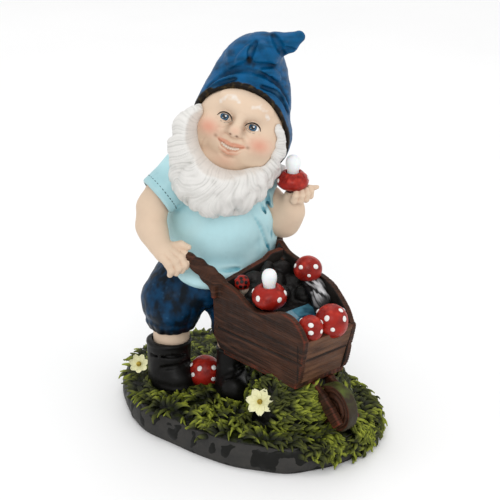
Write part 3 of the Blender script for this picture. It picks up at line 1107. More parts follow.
def build_legs():
    F = Field((-64, -6, 62), (44, 88, 138), 0.8)
    F.add(egg((-5, 46, 108), (41.5, 35.5, 25.5)))
    F.add(egg((-33.5, 48, 93.5), (25.5, 25.5, 24.5)), 6)
    F.chain([(-3.5, 15.5, 75), (10, 38, 98)], [12.8, 20.5], 6)
    F.add(drum((-34, 49.5, 69), (-34, 49.5, 78), 18.0, 21.5, 2), 5)
    F.add(drum((-4.2, 14.5, 64.5), (-3.4, 15.5, 74), 12.4, 13.2, 2), 4)
    rng = np.random.RandomState(3)
    for k in range(15):
        t = k / 15 * 2 * math.pi + rng.uniform(-0.12, 0.12)
        d = A(math.cos(t), math.sin(t), 0)
        lo = A(-34, 49.5, 69) + d * 18.6
        mid = A(-33.6, 48.6, 80) + d * 24.8
        hi = A(-33.2, 48.0, 93) + d * (27.2 + rng.uniform(-0.6, 0.4))
        F.chain([lo, mid, hi], [1.8, 1.3, 0.4], 0, 2) if False else None
        for a, b, r in ((lo, mid, 1.5), (mid, hi, 0.9)):
            F.cut(bone(a, b, r, r * 0.8), 2.2)
    for k in range(9):
        t = k / 9 * 2 * math.pi + 0.2
        d = A(math.cos(t), math.sin(t), 0)
        F.cut(bone(A(-4.2, 14.5, 65) + d * 12.4, A(-2.0, 17, 80) + d * 15, 1.3, 0.7), 2.0)
    F.cut(bone((-20, 22, 104), (-12, 20, 86), 1.6, 1.0), 3)
    F.cut(bone((-14, 26, 92), (-16, 40, 80), 2.2, 1.4), 3)
    F.limit(lambda x, y, z: (66.5 if True else 0) - z + 0 * x * y, 1.0) if False else None
    p, q, n = sculpt(F, lambda p, n: 0.7 * fbm(p, 14, 71, 3) + 0.25 * fbm(p, 4.5, 72, 2), 1)
    col, cave = crease_paint(p, q, n, NAVY, NAVY * 0.25, NAVY_DRY, 0.9, 10)
    dry = np.clip(1.5 * fbm(p * A(1, 1, 0.7), 6, 73, 3) + 0.35 - cave * 1.1, 0, 1)
    col = lerp3(col, NAVY_DRY, dry * 0.85 * step(70, 84, p[:, 2]))
    col = lerp3(col, A(*srgb(60, 104, 140)), np.clip(2.0 * (fbm(p, 3.2, 75, 2) - 0.38), 0, 0.4) * dry)
    col = lerp3(col, A(*srgb(10, 10, 14)), step(79, 70, p[:, 2] + 2.0 * noise(p, 6, 74)) * 0.9)
    piece("trousers_sculpt", p, q, M_TROUSERS, replaces=("trousers",), slot="trousers_navy", col=col)
    # shins
    for tag, a, b, r in (("right", (-35.0, 50.0, 44.0), (-34.0, 49.5, 80.0), 14.2), ("left", (-6.0, 9.5, 40.0), (-3.0, 14.5, 74.0), 9.9)):
        a, b = A(*a), A(*b)
        F = Field(np.minimum(a, b) - r - 3, np.maximum(a, b) + r + 3, 0.7)
        F.add(drum(a, b, r, r, 1.5))
        F.add(egg((a + b) / 2 + A(0, 3, 0), (r * 0.8, r * 0.9, 10)), 3)
        F.limit(lambda x, y, z: np.sqrt((x - (a[0] + b[0]) / 2) ** 2 + (y - (a[1] + b[1]) / 2) ** 2) - r - 0.6 + 0 * z)
        p, q, n = sculpt(F, lambda p, n: 0.15 * fbm(p, 8, 76, 2))
        piece(tag + "_shin_sculpt", p, q, M_SKIN, replaces=(tag + "_shin",), slot="skin", col=skin_paint(p, q, n, 0.4))


def build_boots():
    # right boot
    F = Field((-62, 8, 16), (-14, 74, 64), 0.7)
    F.add(drum((-38.5, 49, 20.8), (-36.9, 50.4, 59.2), 16.6, 17.8, 1.6))
    F.add(egg((-38.0, 41.5, 29.5), (15.0, 16.5, 11.5)), 5)
    F.add(egg((-38.0, 41, 24.5), (16.2, 17.6, 5.0)), 3)
    F.add(drum((-36.95, 50.3, 56.4), (-36.85, 50.45, 59.2), 18.3, 18.0, 1.2), 0.6)
    F.cut(drum((-35.2, 50.0, 52), (-34.6, 49.8, 66), 15.0, 15.4, 0.8), 0.5)
    for pts, r in (([(-52, 40, 41), (-42, 32, 43.0), (-29, 35, 42)], 1.1), ([(-54, 50, 50), (-46, 36, 51), (-34, 34, 50)], 0.8)):
        c = smooth_curve(pts, 8)
        for k in range(7):
            F.cut(bone(c[k], c[k + 1], r, r), 2.4)
    F.limit(lambda x, y, z: 20.3 - z + 0 * x * y)
    p, q, n = sculpt(F, lambda p, n: 0.35 * fbm(p, 12, 81, 2) + 0.1 * fbm(p, 4, 82, 2), 1)
    col, cave = crease_paint(p, q, n, BLACK, BLACK * 0.35, A(*srgb(58, 57, 56)), 0.8, 10)
    piece("right_boot_sculpt", p, q, M_BOOT, replaces=("right_boot",), slot="boot_black", col=col)
    F = Field((-36, -34, 16), (12, 28, 62), 0.7)
    F.add(drum((-9.0, 6.0, 20.8), (-5.6, 10.6, 57.2), 11.9, 11.4, 1.5))
    F.add(bone((-11.5, 3.0, 31.0), (-16.6, -6.4, 30.0), 12.0, 11.2), 5)
    F.add(egg((-14.2, -2.0, 25.0), (12.6, 16.0, 5.2), np.array([[math.cos(0.4), math.sin(0.4), 0], [-math.sin(0.4), math.cos(0.4), 0], [0, 0, 1]])), 3)
    F.add(drum((-5.8, 10.4, 54.6), (-5.6, 10.6, 57.2), 11.9, 11.9, 1.1), 0.6)
    F.cut(drum((-5.2, 11.0, 50), (-4.2, 12.6, 62), 10.2, 10.2, 0.8), 0.5)
    for pts, r in (([(-25, -2, 40), (-16, -7, 42.5), (-4, -2, 41)], 1.4), ([(-22, 0, 46), (-15, -4, 47), (-5, -1, 46)], 1.1)):
        c = smooth_curve(pts, 8)
        for k in range(7):
            F.cut(bone(c[k], c[k + 1], r, r), 2.2)
    F.limit(lambda x, y, z: 20.3 - z + 0 * x * y)
    p, q, n = sculpt(F, lambda p, n: 0.35 * fbm(p, 12, 83, 2) + 0.1 * fbm(p, 4, 84, 2), 1)
    col, cave = crease_paint(p, q, n, BLACK, BLACK * 0.35, A(*srgb(58, 57, 56)), 0.8, 10)
    piece("left_boot_sculpt", p, q, M_BOOT, replaces=("left_boot",), slot="boot_black", col=col)


# ------------------------------------------------------------------ barrow
def near_x(y, z):
    return -24.0 - (z - 62.0) * 5.0 / 63.0 - y * 5.4 / 92.0


def far_x(y, z):
    return 36.0 + (z - 62.0) * 5.0 / 68.0 + y * 5.1 / 92.0


NEAR_OUTLINE = [(4.5, 58), (2, 66.5), (-8, 64), (-21.6, 60.5), (-32, 54.5), (-40.5, 51.8), (-50, 53), (-60, 57), (-68, 60), (-76, 60.4), (-83, 58.2), (-89, 53),
                (-92.6, 47), (-94, 43), (-91, 30), (-82.7, 3.3), (-66, 2.9), (-49.4, 2.9), (-20.6, 2.9), (-0.1, 3), (4.5, 8), (7, 12.8), (7.2, 22), (6.2, 32), (5.6, 45)]
FAR_OUTLINE = [(3, 74), (0.6, 75.5), (-7.6, 71.3), (-19, 69.5), (-34, 68), (-50, 66.6), (-62.2, 64.4), (-69.8, 60.6), (-77.5, 55.3), (-84, 49.6), (-88.3, 43.1), (-91, 40.1),
               (-89, 28), (-82.7, 3.3), (-60, 2.9), (-30, 2.9), (0, 3), (5, 9), (6, 28), (5, 50)]


def poly_dist(px, py, poly):
    """Signed distance in 2-D, negative inside."""
    P = np.array(poly, float)
    Q = np.roll(P, -1, 0)
    best = np.full(np.broadcast(px, py).shape, 1e9)
    inside = np.zeros(best.shape, bool)
    for (x0, y0), (x1, y1) in zip(P, Q):
        dx, dy = x1 - x0, y1 - y0
        t = np.clip(((px - x0) * dx + (py - y0) * dy) / (dx * dx + dy * dy + 1e-12), 0, 1)
        best = np.minimum(best, np.hypot(px - x0 - t * dx, py - y0 - t * dy))
        cross = ((y0 > py) != (y1 > py)) & (px < (x1 - x0) * (py - y0) / (y1 - y0 + 1e-12) + x0)
        inside ^= cross
    return np.where(inside, -best, best)


def wood_displace(across, along, amp=0.38, pitch=1.9):
    """Grain: long wavering grooves. across and along are functions giving mm coordinates."""
    def fn(p, n):
        a, l = across(p), along(p)
        g = np.stack([a, l * 0.10, 0 * a], -1)
        w = a + 2.4 * noise(g * A(1, 1, 1), 9, 91) + 0.8 * noise(np.stack([a, l * 0.2, 0 * a], -1), 4, 92)
        s = np.sin(w * 2 * math.pi / pitch)
        cut = -np.clip(s - 0.25 - 0.5 * noise(g, 3.5, 93), 0, 1)
        return amp * (cut * 1.3 + 0.22 * s) + 0.35 * fbm(g * 1.0, 12, 94, 2)
    return fn


def wood_colour(p, q, n, across, along, seed=0):
    a, l = across(p), along(p)
    sm = relax(p, q, 5, 0.6)
    cave = ((sm - p) * n).sum(1)
    wide = relax(p, q, 24, 0.6)
    edge = -((wide - p) * n).sum(1)
    g = np.stack([a, l * 0.12, 0 * a], -1)
    t = fbm(g, 5, 95 + seed, 3)
    col = lerp3(BROWN_DARK + 0 * p, BROWN, np.clip(0.55 + 0.7 * t - cave * 2.4, 0, 1))
    col = lerp3(col, A(*srgb(96, 62, 46)), np.clip(1.1 * (fbm(g, 2.4, 97 + seed, 3) - 0.12), 0, 0.5))
    col = lerp3(col, BROWN_RED, np.clip((edge - 0.40) * 1.1 + 0.45 * fbm(p, 9, 98, 2), 0, 0.85))
    return col


def build_boards():
    dark = A(*srgb(34, 36, 34))
    for tag, xf, outline, inward, handle, node_name in (
            ("near", near_x, NEAR_OUTLINE, 1, [((-25.6, 2, 116), 9.5, 3.4), ((-27.6, 1.0, 122.5), 7.6, 3.5), ((-30.6, 6.5, 128.5), 6.4, 3.6), ((-35.0, 13.2, 135.0), 5.2, 3.4), ((-39.5, 19, 139.8), 4.3, 3.2), ((-44, 24.6, 143.0), 3.9, 3.0)], "right_side_board"),
            ("far", far_x, FAR_OUTLINE, -1, [((35.4, -2, 122), 8.5, 3.4), ((38.6, 2.5, 127), 6.6, 3.3), ((43.5, 9.5, 128.6), 5.6, 3.3), ((49, 17, 129.6), 5.0, 3.2), ((55.4, 28.6, 131.0), 4.0, 3.0)], "left_side_board")):
        box_lo, box_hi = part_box(node_name)
        lo, hi = A(*box_lo) / MM - 3, A(*box_hi) / MM + 3
        F = Field(lo, hi, 0.62)
        X, Y, Z = F.ax[0][:, None, None], F.ax[1][None, :, None], F.ax[2][None, None, :]
        smooth = smooth_curve(outline, 150, True)
        d2 = poly_dist(F.ax[1][:, None], F.ax[2][None, :] - 62.0, smooth)[None]
        face = xf(Y, Z)
        th = 5.2
        mid = face + inward * (th / 2 + 0.1)
        dx = np.abs(X - mid) - (th / 2)
        rnd = 1.1
        a, b = dx + rnd, d2 + rnd
        F.d = (np.sqrt(np.maximum(a, 0) ** 2 + np.maximum(b, 0) ** 2) + np.minimum(np.maximum(a, b), 0) - rnd).astype(f32)
        # the handle grows out of the board's rear top corner
        bones = []
        hp = [A(*c) for c, r, w in handle]
        hr = [r for c, r, w in handle]
        hw = [w for c, r, w in handle]
        for k in range(len(hp) - 1):
            c0, c1 = hp[k], hp[k + 1]
            t = unit(c1 - c0)
            side = unit(np.cross(t, (0, 0, 1)))
            up = np.cross(side, t)

            def fn(x, y, z, c0=c0, c1=c1, side=side, up=up, r0=hr[k], r1=hr[k + 1], w0=hw[k], w1=hw[k + 1]):
                v = c1 - c0
                x, y, z = x - c0[0], y - c0[1], z - c0[2]
                h = np.clip((x * v[0] + y * v[1] + z * v[2]) / (v @ v), 0, 1)
                x, y, z = x - h * v[0], y - h * v[1], z - h * v[2]
                r, w = r0 + (r1 - r0) * h, w0 + (w1 - w0) * h
                s = (x * side[0] + y * side[1] + z * side[2]) / w
                u = (x * up[0] + y * up[1] + z * up[2]) / r
                e = x * x + y * y + z * z - (s * w) ** 2 - (u * r) ** 2
                k0 = np.sqrt(s * s + u * u + np.maximum(e, 0) / (w * w) + 1e-9)
                # squarish section
                k1 = np.power(np.abs(s) ** 3 + np.abs(u) ** 3 + (np.maximum(e, 0) / (w * w)) ** 1.5 + 1e-9, 1 / 3)
                return (0.4 * k0 + 0.6 * k1 - 1) * w
            F.add(Shape(np.minimum(c0, c1) - max(hr[k], hr[k + 1]), np.maximum(c0, c1) + max(hr[k], hr[k + 1]), fn), 3.0)
        # plank joint along the outer face, and a few deep splits
        out = lambda y, z: A(xf(y, z) - inward * 0.2, y, z)
        y1 = -89.0
        joint = (out(1.0, 83.2 if tag == "near" else 88), out(y1, 84.9 if tag == "near" else 86))
        F.cut(bone(joint[0], joint[1], 1.25, 1.25), 0.5)
        post = (out(-83.6, 62.0), out(-86.6, 100.0))
        F.cut(bone(post[0], post[1], 0.8, 0.8), 0.4)
        rng = np.random.RandomState(11 if tag == "near" else 12)
        for k in range(14):
            z = rng.uniform(68, 116)
            y0 = rng.uniform(-84, -20)
            ln = rng.uniform(14, 34)
            F.cut(bone(out(y0, z), out(y0 + ln, z + 0.5 + ln * 0.02), 0.32, 0.42), 0.4)
        across = lambda p: p[:, 2] - 0.02 * p[:, 1] + 0.25 * np.maximum(p[:, 1] - 0, 0) * -1.0
        along = lambda p: p[:, 1]
        p, q, n = sculpt(F, wood_displace(across, along), 0)
        col = wood_colour(p, q, n, across, along)
        col = lerp3(col, A(*srgb(9, 7, 5)), step(1.9, 0.9, np.minimum(line_dist(p, joint), line_dist(p, post) + 0.5)) * 0.9)
        inner = step(0.4, 2.2, (p[:, 0] - xf(p[:, 1], p[:, 2])) * inward) * step(8, 2, p[:, 1]) * (np.abs(n[:, 0]) > 0.5)
        col = lerp3(col, lerp3(dark * 0.35 + 0 * p, dark, np.clip(0.5 + fbm(p, 6, 99, 3), 0, 1)), inner * 0.9)
        piece(node_name + "_sculpt", p, q, M_WOOD, replaces=(node_name,), slot="barrow_brown", col=col)
    # front board
    T = 5.45
    ang = math.radians(14.4)
    ax = np.array([[1, 0, 0], [0, math.cos(ang), math.sin(ang)], [0, -math.sin(ang), math.cos(ang)]])
    lo, hi = (A(*v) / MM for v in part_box("front_board"))
    F = Field(lo - 3, hi + 3, 0.6)
    base = A(0, -81.4, 62)
    up = ax[2]
    outn = -ax[1]
    pts = [(near_x(-82, 65) + T - 0.4, 2.9), (far_x(-82, 65) - T + 0.4, 2.9), (far_x(-92, 104) - T + 0.4, 43.3), (10, 42.6), (near_x(-92, 104) + T - 0.4, 43.3)]
    X, Y, Z = F.ax[0][:, None, None], F.ax[1][None, :, None], F.ax[2][None, None, :]
    zz = (Y - base[1]) * up[1] + (Z - base[2]) * up[2]
    yy = (Y - base[1]) * ax[1][1] + (Z - base[2]) * ax[1][2]
    d2 = poly_dist(X + 0 * zz, zz + 0 * X, pts)
    b_th = 5.0
    a, b = np.abs(yy - b_th / 2 + 0.0) - b_th / 2 + 0.8, d2 + 0.8
    F.d = (np.sqrt(np.maximum(a, 0) ** 2 + np.maximum(b, 0) ** 2) + np.minimum(np.maximum(a, b), 0) - 0.8).astype(f32)
    for h in (24.6,):
        c = base + up * h
        F.cut(bone(c + A(-13, 0, 0), c + A(26, 0, 0), 0.9, 0.9), 0.4)
    across = lambda p: (p - base) @ up
    along = lambda p: p[:, 0]
    p, q, n = sculpt(F, wood_displace(across, along, 0.34), 0)
    col = wood_colour(p, q, n, across, along, 3)
    col = lerp3(col, A(*srgb(118, 84, 62)), np.clip(0.42 + 0.5 * fbm(p * A(0.2, 1, 1), 3.0, 88, 2), 0, 0.7) * step(0.2, -0.5, n @ outn * -1))
    col = lerp3(col, A(*srgb(9, 7, 5)), step(1.7, 0.8, line_dist(p, [base + up * 24.6 + A(-13, 0, 0), base + up * 24.6 + A(26, 0, 0)])) * 0.85)
    piece("front_board_sculpt", p, q, M_WOOD, replaces=("front_board",), slot="barrow_brown", col=col)
    # rear and floor boards
    for name in ("rear_board", "floor_board"):
        lo, hi = (A(*v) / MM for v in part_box(name))
        F = Field(lo - 3, hi + A(3, 3, 10), 0.8)
        if name == "rear_board":
            pts = [(near_x(-2, 64) + T, 65.2), (far_x(-2, 64) - T, 65.2), (far_x(-2, 125) - T, 139.0), (far_x(-2, 125) - 12, 139.0), (far_x(-2, 125) - 24, 131.5), (near_x(-2, 122) + 20, 127.0), (near_x(-2, 122) + T, 124.5)]
            X, Y, Z = F.ax[0][:, None, None], F.ax[1][None, :, None], F.ax[2][None, None, :]
            d2 = poly_dist(X + 0 * Z, Z + 0 * X, pts)
            a, b = np.abs(Y + 3.1) - 2.5 + 0.8, d2 + 0.8
            across, along = (lambda p: p[:, 2]), (lambda p: p[:, 0])
        else:
            pts = [(near_x(-80.5, 62) + 1.2, -80.5), (far_x(-80.5, 62) - 1.2, -80.5), (far_x(-1, 62) - 1.2, -1), (near_x(-1, 62) + 1.2, -1)]
            X, Y, Z = F.ax[0][:, None, None], F.ax[1][None, :, None], F.ax[2][None, None, :]
            d2 = poly_dist(X + 0 * Y, Y + 0 * X, pts)
            a, b = np.abs(Z - 62.6) - 2.3 + 0.8, d2 + 0.8
            across, along = (lambda p: p[:, 0]), (lambda p: p[:, 1])
        F.d = (np.sqrt(np.maximum(a, 0) ** 2 + np.maximum(b, 0) ** 2) + np.minimum(np.maximum(a, b), 0) - 0.8).astype(f32)
        p, q, n = sculpt(F, wood_displace(across, along, 0.34), 0)
        col = wood_colour(p, q, n, across, along, 5)
        if name == "rear_board":
            col = lerp3(col, dark, step(-0.3, -0.8, n[:, 1]) * 0.85)
        piece(name + "_sculpt", p, q, M_WOOD, replaces=(name,), slot="barrow_brown", col=col)


def build_soil():
    lo, hi = (A(*v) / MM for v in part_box("soil_fill"))
    F = Field(lo - A(1, 1, 1), hi + A(1, 1, 16), 0.75)
    X, Y, Z = F.ax[0][:, None, None], F.ax[1][None, :, None], F.ax[2][None, None, :]
    top = 112 + (Y + 6.3) * 0.192 + 4.5 * step(-34, -22, Y)
    F.d = np.maximum(np.maximum(np.maximum(near_x(Y, Z) + 5.0 - X, X - far_x(Y, Z) + 5.0), np.maximum(Y + 5.9, (-80.0 - 0.25 * (Z - 65)) - Y + 0.4)), np.maximum(Z - top, 66.0 - Z)).astype(f32)
    rng = np.random.RandomState(5)
    lumps = [((0, -11, 121), (9, 5, 8)), ((14, -10, 123), (10, 5, 9)), ((27, -11, 122), (9, 5, 8)), ((-3, -18, 116), (13, 7, 7)), ((9, -12, 119), (9, 6, 6)), ((20, -14, 117), (10, 7, 7)), ((31, -22, 112), (7, 9, 8)), ((14, -27, 113), (9, 6, 6)), ((30, -36, 108), (8, 8, 8)),
             ((-17, -30, 107), (6, 7, 6)), ((-12, -62, 103), (8, 6, 5)), ((30, -70, 104), (7, 8, 6)), ((27, -60, 108), (7, 7, 6)), ((4, -34, 108), (7, 5, 6))]
    for c, r in lumps:
        t = rng.uniform(0, 3)
        F.add(egg(c, r, rot_about("Z", math.degrees(t))), 2.5)
    F.limit(lambda x, y, z: np.maximum(near_x(y, z) + 5.0 - x, x - far_x(y, z) + 5.0))
    F.limit(lambda x, y, z: y + 5.9 + 0 * x * z)
    pm = rot_about("X", 9)
    c = A(10.0, -56.0, 99.6)
    axes = np.array([[1, 0, 0], [0, math.cos(math.radians(9)), math.sin(math.radians(9))], [0, -math.sin(math.radians(9)), math.cos(math.radians(9))]])
    F.cut(slab(c + axes[2] * 9.9, (17.3, 13.3, 10.0), axes, 0.4), 0.8)

    def rough(p, n):
        up = step(0.0, 0.4, n[:, 2])
        return up * (0.9 * fbm(p, 6, 101, 3) - 0.9 * np.abs(fbm(p, 9, 102, 2)) - 0.2)
    p, q, n = sculpt(F, rough, 1)
    col, cave = crease_paint(p, q, n, A(*srgb(26, 24, 23)), A(*srgb(8, 8, 8)), A(*srgb(62, 58, 56)), 0.9, 6)
    col = lerp3(col, A(*srgb(50, 54, 52)), np.clip(0.8 * fbm(p, 12, 103, 2), 0, 0.5))
    # white brushed streaks run down the dark root below the back toadstool
    piece("soil_sculpt", p, q, M_SOIL, replaces=("soil_fill",), slot="soil_dark", col=col)


# ------------------------------------------------------------------ toadstools
def cap_profile(r, top, low, stem, foot, n=46):
    pts = [(0, top), (r * 0.38, top * 0.93), (r * 0.72, top * 0.68), (r * 0.93, top * 0.32), (r, -low * 0.08), (r * 0.94, -low * 0.55), (r * 0.72, -low * 0.92), (r * 0.5, -low)]
    cap = smooth_curve(pts, n)
    cap[0, 0] = 0
    out = [tuple(v) for v in cap]
    for f in np.linspace(0.12, 1, 14):
        out.append((stem + (r * 0.5 - stem) * max(0, 1 - f * 3), -low + 0.3 + (foot + low - 0.3) * f))
    out.append((0, foot))
    return out


def dots_on(centre, r, top, low, spots, size=1.75):
    """Raised paint dots: (azimuth, height share -1..1, size factor)."""
    parts = []
    c = A(*centre)
    for az, hz, sf in spots:
        a = math.radians(az)
        z = hz * (top if hz > 0 else low)
        rr = r * math.sqrt(max(0.02, 1 - hz * hz)) if hz > 0 else r * math.sqrt(max(0.02, 1 - (abs(hz)) ** 2.4))
        at = A(rr * math.cos(a), rr * math.sin(a), z)
        nrm = unit(A(at[0] / r ** 2, at[1] / r ** 2, z / (top if hz > 0 else low) ** 2))
        m = axes_about(nrm)
        s = size * sf
        rings = [(0.0, 0.46), (0.45, 0.42), (0.8, 0.28), (1.0, 0.0), (1.02, -0.8)]
        P = [at + nrm * rings[0][1]]
        na = 22
        for rho, h in rings[1:]:
            for j in range(na):
                t = 2 * math.pi * j / na
                k = s * rho * (1 + 0.07 * math.sin(2 * t + az))
                off = m[0] * k * math.cos(t) + m[1] * k * math.sin(t)
                sag = (k * k) / (2 * min(r, top if hz > 0 else low) * 1.02)
                P.append(at + off + nrm * (h - sag))
        F = []
        for j in range(na):
            F.append((0, 1 + j, 1 + (j + 1) % na, 1 + (j + 1) % na))
        for k in range(len(rings) - 2):
            for j in range(na):
                F.append((1 + k * na + j, 1 + (k + 1) * na + j, 1 + (k + 1) * na + (j + 1) % na, 1 + k * na + (j + 1) % na))
        parts.append((np.array(P) + c, np.array(F)))
    return merge(parts)


def red_paint(p, n, z0, seed):
    t = fbm(p, 6, seed, 3)
    col = lerp3(RED + 0 * p, RED_DEEP, np.clip(0.25 + 0.7 * t, 0, 0.8))
    col = lerp3(col, A(*srgb(206, 66, 50)), np.clip(0.9 * (fbm(p, 3.5, seed + 1, 3) - 0.1) + 0.15 * n[:, 2], 0, 0.6))
    return col


def build_toadstools():
    stem_col = A(*srgb(208, 196, 176))
    specs = [("front_large_toadstool", (14.0, -84.0, 110.0), 12.6, 12.2, 11.6, 5.0, -15.5, [(-152, 0.52, 1.2), (-76, 0.36, 1.2), (-66, 0.80, 1.1), (-128, -0.18, 1.05), (-10, 0.5, 1.1), (60, 0.4, 1.1), (125, 0.5, 1.1), (95, -0.1, 1), (170, 0.0, 1.1)]),
             ("front_small_toadstool", (-7.0, -84.0, 110.5), 9.6, 9.2, 8.8, 4.0, -13.5, [(-130, 0.62, 1.1), (-130, 0.02, 1.1), (-72, -0.10, 1.0), (-25, 0.4, 1), (45, 0.4, 1), (110, 0.5, 1), (170, 0.25, 1)]),
             ("back_toadstool", (26.4, -43.6, 134.6), 10.8, 9.6, 8.2, 4.4, -12.0, [(-92, 0.50, 1.15), (-168, 0.45, 1.0), (-35, 0.2, 1.0), (20, 0.5, 1), (90, 0.4, 1.1), (150, 0.3, 1), (-128, -0.2, 0.9)]),
             ("ground_toadstool", (-19.5, 26.5, 33.0), 12.6, 12.0, 11.0, 6.0, None, [(-152, 0.60, 1.2), (-86, 0.58, 1.2), (-176, 0.10, 1.2), (-98, -0.12, 1.2), (150, 0.55, 1), (-30, 0.5, 1), (60, 0.5, 1), (110, 0.1, 1), (10, 0.0, 1)])]
    for name, at, r, top, low, stem, foot, spots in specs:
        if foot is None:
            prof = [(0, 12.0)]
            key = [(0, 12.6), (5.0, 12.0), (10.2, 8.0), (13.2, 1.4), (13.2, -3.8), (11.2, -8.8), (7.4, -11.6), (0, -12.4)]
            prof = smooth_curve(key, 70)
            prof[0, 0] = prof[-1, 0] = 0
            r_, top_, low_ = 13.3, 12.6, 12.4
        else:
            prof = cap_profile(r, top, low, stem, foot)
            r_, top_, low_ = r, top, low
        p, q = lathe(prof, at, None, 120)
        n = normals_of(p, q)
        if (n * (p - A(*at))).sum() < 0:
            q = q[:, ::-1]
            n = -n
        rel = p - A(*at)
        lump = 0.35 * fbm(p, 7, 111, 2) + 0.08 * fbm(p, 2.2, 112, 2)
        p = p + n * (lump * 0.8)[:, None]
        n = normals_of(p, q)
        col = red_paint(p, n, at[2], 113)
        if foot is not None:
            under = step(-low * 0.80, -low * 0.98, rel[:, 2])
            body = A(*srgb(24, 22, 22)) if name == "back_toadstool" else A(*srgb(60, 18, 16))
            col = lerp3(col, body, under * 0.95)
        piece_mixed(name + "_sculpt", p, q, M_RED, replaces=(name,) if name != "back_toadstool" else (), slot="toadstool_red", col=col)
        dp, dq = dots_on(at, r_, top_, low_, spots)
        piece_mixed(name + "_dots", dp, dq, M_DOT, slot="lens_white", col=np.tile(WHITE, (len(dp), 1)))
    # the back toadstool's thick dark root with its pale brushed streaks
    F = Field((8, -82, 98), (44, -28, 132), 0.6)
    F.chain([(26.6, -45.5, 124.5), (27.6, -51, 119.5), (26.5, -59, 112.5), (23.0, -64.6, 106.6)], [6.4, 7.2, 7.0, 5.8], 0, 2)
    F.limit(lambda x, y, z: x - far_x(y, z) + 5.0)
    p, q, n = sculpt(F, lambda p, n: 0.7 * fbm(p, 7, 121, 2) + 0.35 * np.sin((p[:, 0] * 1.4 + 1.5 * noise(p, 8, 122)) * 2.2) * step(-0.2, 0.4, n[:, 2]), 1)
    col, cave = crease_paint(p, q, n, A(*srgb(22, 21, 22)), A(*srgb(8, 8, 9)), A(*srgb(70, 70, 70)), 0.9, 6)
    s = noise(np.stack([p[:, 0] * 1.0 + 0.35 * p[:, 1], p[:, 1] * 0.16, p[:, 2] * 0.16], -1), 1.3, 123)
    band = np.exp(-((p[:, 0] - 24.0 + 0.12 * (p[:, 1] + 50)) / 6.0) ** 2) * step(-66, -60, p[:, 1]) * step(-44, -48, p[:, 1]) * step(0.0, 0.5, n[:, 2] - 0.3 * n[:, 1])
    col = lerp3(col, A(*srgb(214, 214, 216)), np.clip((s + 0.25) * 1.7, 0, 0.95) * band)
    piece("back_toadstool_root", p, q, M_SOIL, replaces=("back_toadstool",), slot="soil_dark", col=col)
    # lamp caps: a raised collar round the lens
    for tag, at, r, low, foot in (("hand", (49.4, 0.8, 187.2), 12.6, 6.2, -10.0), ("barrow", (-10.0, -40.8, 122.6), 13.3, 9.6, -19.0)):
        key = [(0, 3.4), (3.4, 3.4), (5.0, 5.4), (5.4, 7.0), (6.6, 7.6), (7.9, 6.9), (r * 0.76, 5.2), (r * 0.93, 2.4), (r, -0.6), (r * 0.95, -low * 0.5), (r * 0.74, -low * 0.9), (r * 0.5, -low), (4.8, -low - 0.6), (4.4, foot), (0, foot)]
        prof = smooth_curve(key, 110)
        prof[:, 0] = np.maximum(prof[:, 0], 0)
        prof[0, 0] = prof[-1, 0] = 0
        p, q = lathe(prof, at, None, 120)
        n = normals_of(p, q)
        if (n * (p - A(*at))).sum() < 0:
            q = q[:, ::-1]
            n = -n
        rel = p - A(*at)
        p = p + n * (0.42 * fbm(p, 5.5, 131, 2) + 0.1 * fbm(p, 2, 132, 2))[:, None] * step(4.6, 6, np.hypot(rel[:, 0], rel[:, 1]))[:, None]
        n = normals_of(p, q)
        col = red_paint(p, n, at[2], 133)
        col = lerp3(col, A(*srgb(60, 18, 16)), step(-low * 0.8, -low * 1.0, rel[:, 2]) * 0.95)
        piece_mixed(tag + "_lamp_toadstool_sculpt", p, q, M_RED, replaces=(tag + "_lamp_toadstool",), slot="toadstool_red", col=col)
        if tag == "barrow":
            spots = [(-172, 0.12, 1.25), (-94, 0.02, 1.25), (-50, 0.3, 1.2), (0, 0.15, 1.1), (60, 0.3, 1.1), (125, 0.2, 1.1)]
        else:
            spots = [(-38, 0.25, 1.0), (30, 0.2, 1.1), (100, 0.3, 1.1), (160, 0.15, 1.0), (-165, 0.35, 0.0001)]
        dp, dq = dots_on(at, r - 0.1, 8.2, low, spots)
        piece_mixed(tag + "_lamp_dots", dp, dq, M_DOT, slot="lens_white", col=np.tile(WHITE, (len(dp), 1)))
    # ladybird button: a rounded red body with black spots
    F = Field((-24, -24, 100), (-6, -5, 134), 0.35)
    F.add(egg((-15, -14.7, 124.6), (6.1, 6.2, 5.9)))
    F.add(egg((-14.0, -16.0, 119.5), (3.9, 3.9, 4.6)), 1.6)
    F.chain([(-15, -14.7, 119), (-15, -14.7, 105)], [2.9, 2.7], 0.5)
    p, q, n = sculpt(F, lambda p, n: 0.12 * fbm(p, 4, 141, 2), 1)
    col = red_paint(p, n, 124, 143)
    rel = p - A(-15, -14.7, 124.6)
    dirs = [unit(v) for v in ((-0.6, -0.7, 0.55), (-0.1, -0.95, 0.35), (-0.95, -0.2, 0.3), (-0.45, -0.35, 0.9), (0.3, -0.5, 0.85), (-0.75, -0.65, -0.15), (-0.25, -0.95, -0.2), (0.7, -0.6, 0.2), (-0.5, 0.5, 0.7), (0.4, 0.5, 0.8), (-0.9, 0.4, 0.1), (0.3, 0.95, 0.1), (0.95, 0.1, 0.2))]
    rn = rel / np.linalg.norm(rel, axis=1)[:, None]
    for d in dirs:
        col = lerp3(col, A(*srgb(20, 14, 14)), step(0.962, 0.975, rn @ d) * (rel[:, 2] > -4))
    col = lerp3(col, stem_col * 0.9, step(121.6, 119.6, p[:, 2] + 0.4 * noise(p, 2, 145)) * 0.85)
    piece("ladybird_sculpt", p, q, M_RED, replaces=("ladybird",), slot="ladybird_red", col=col)


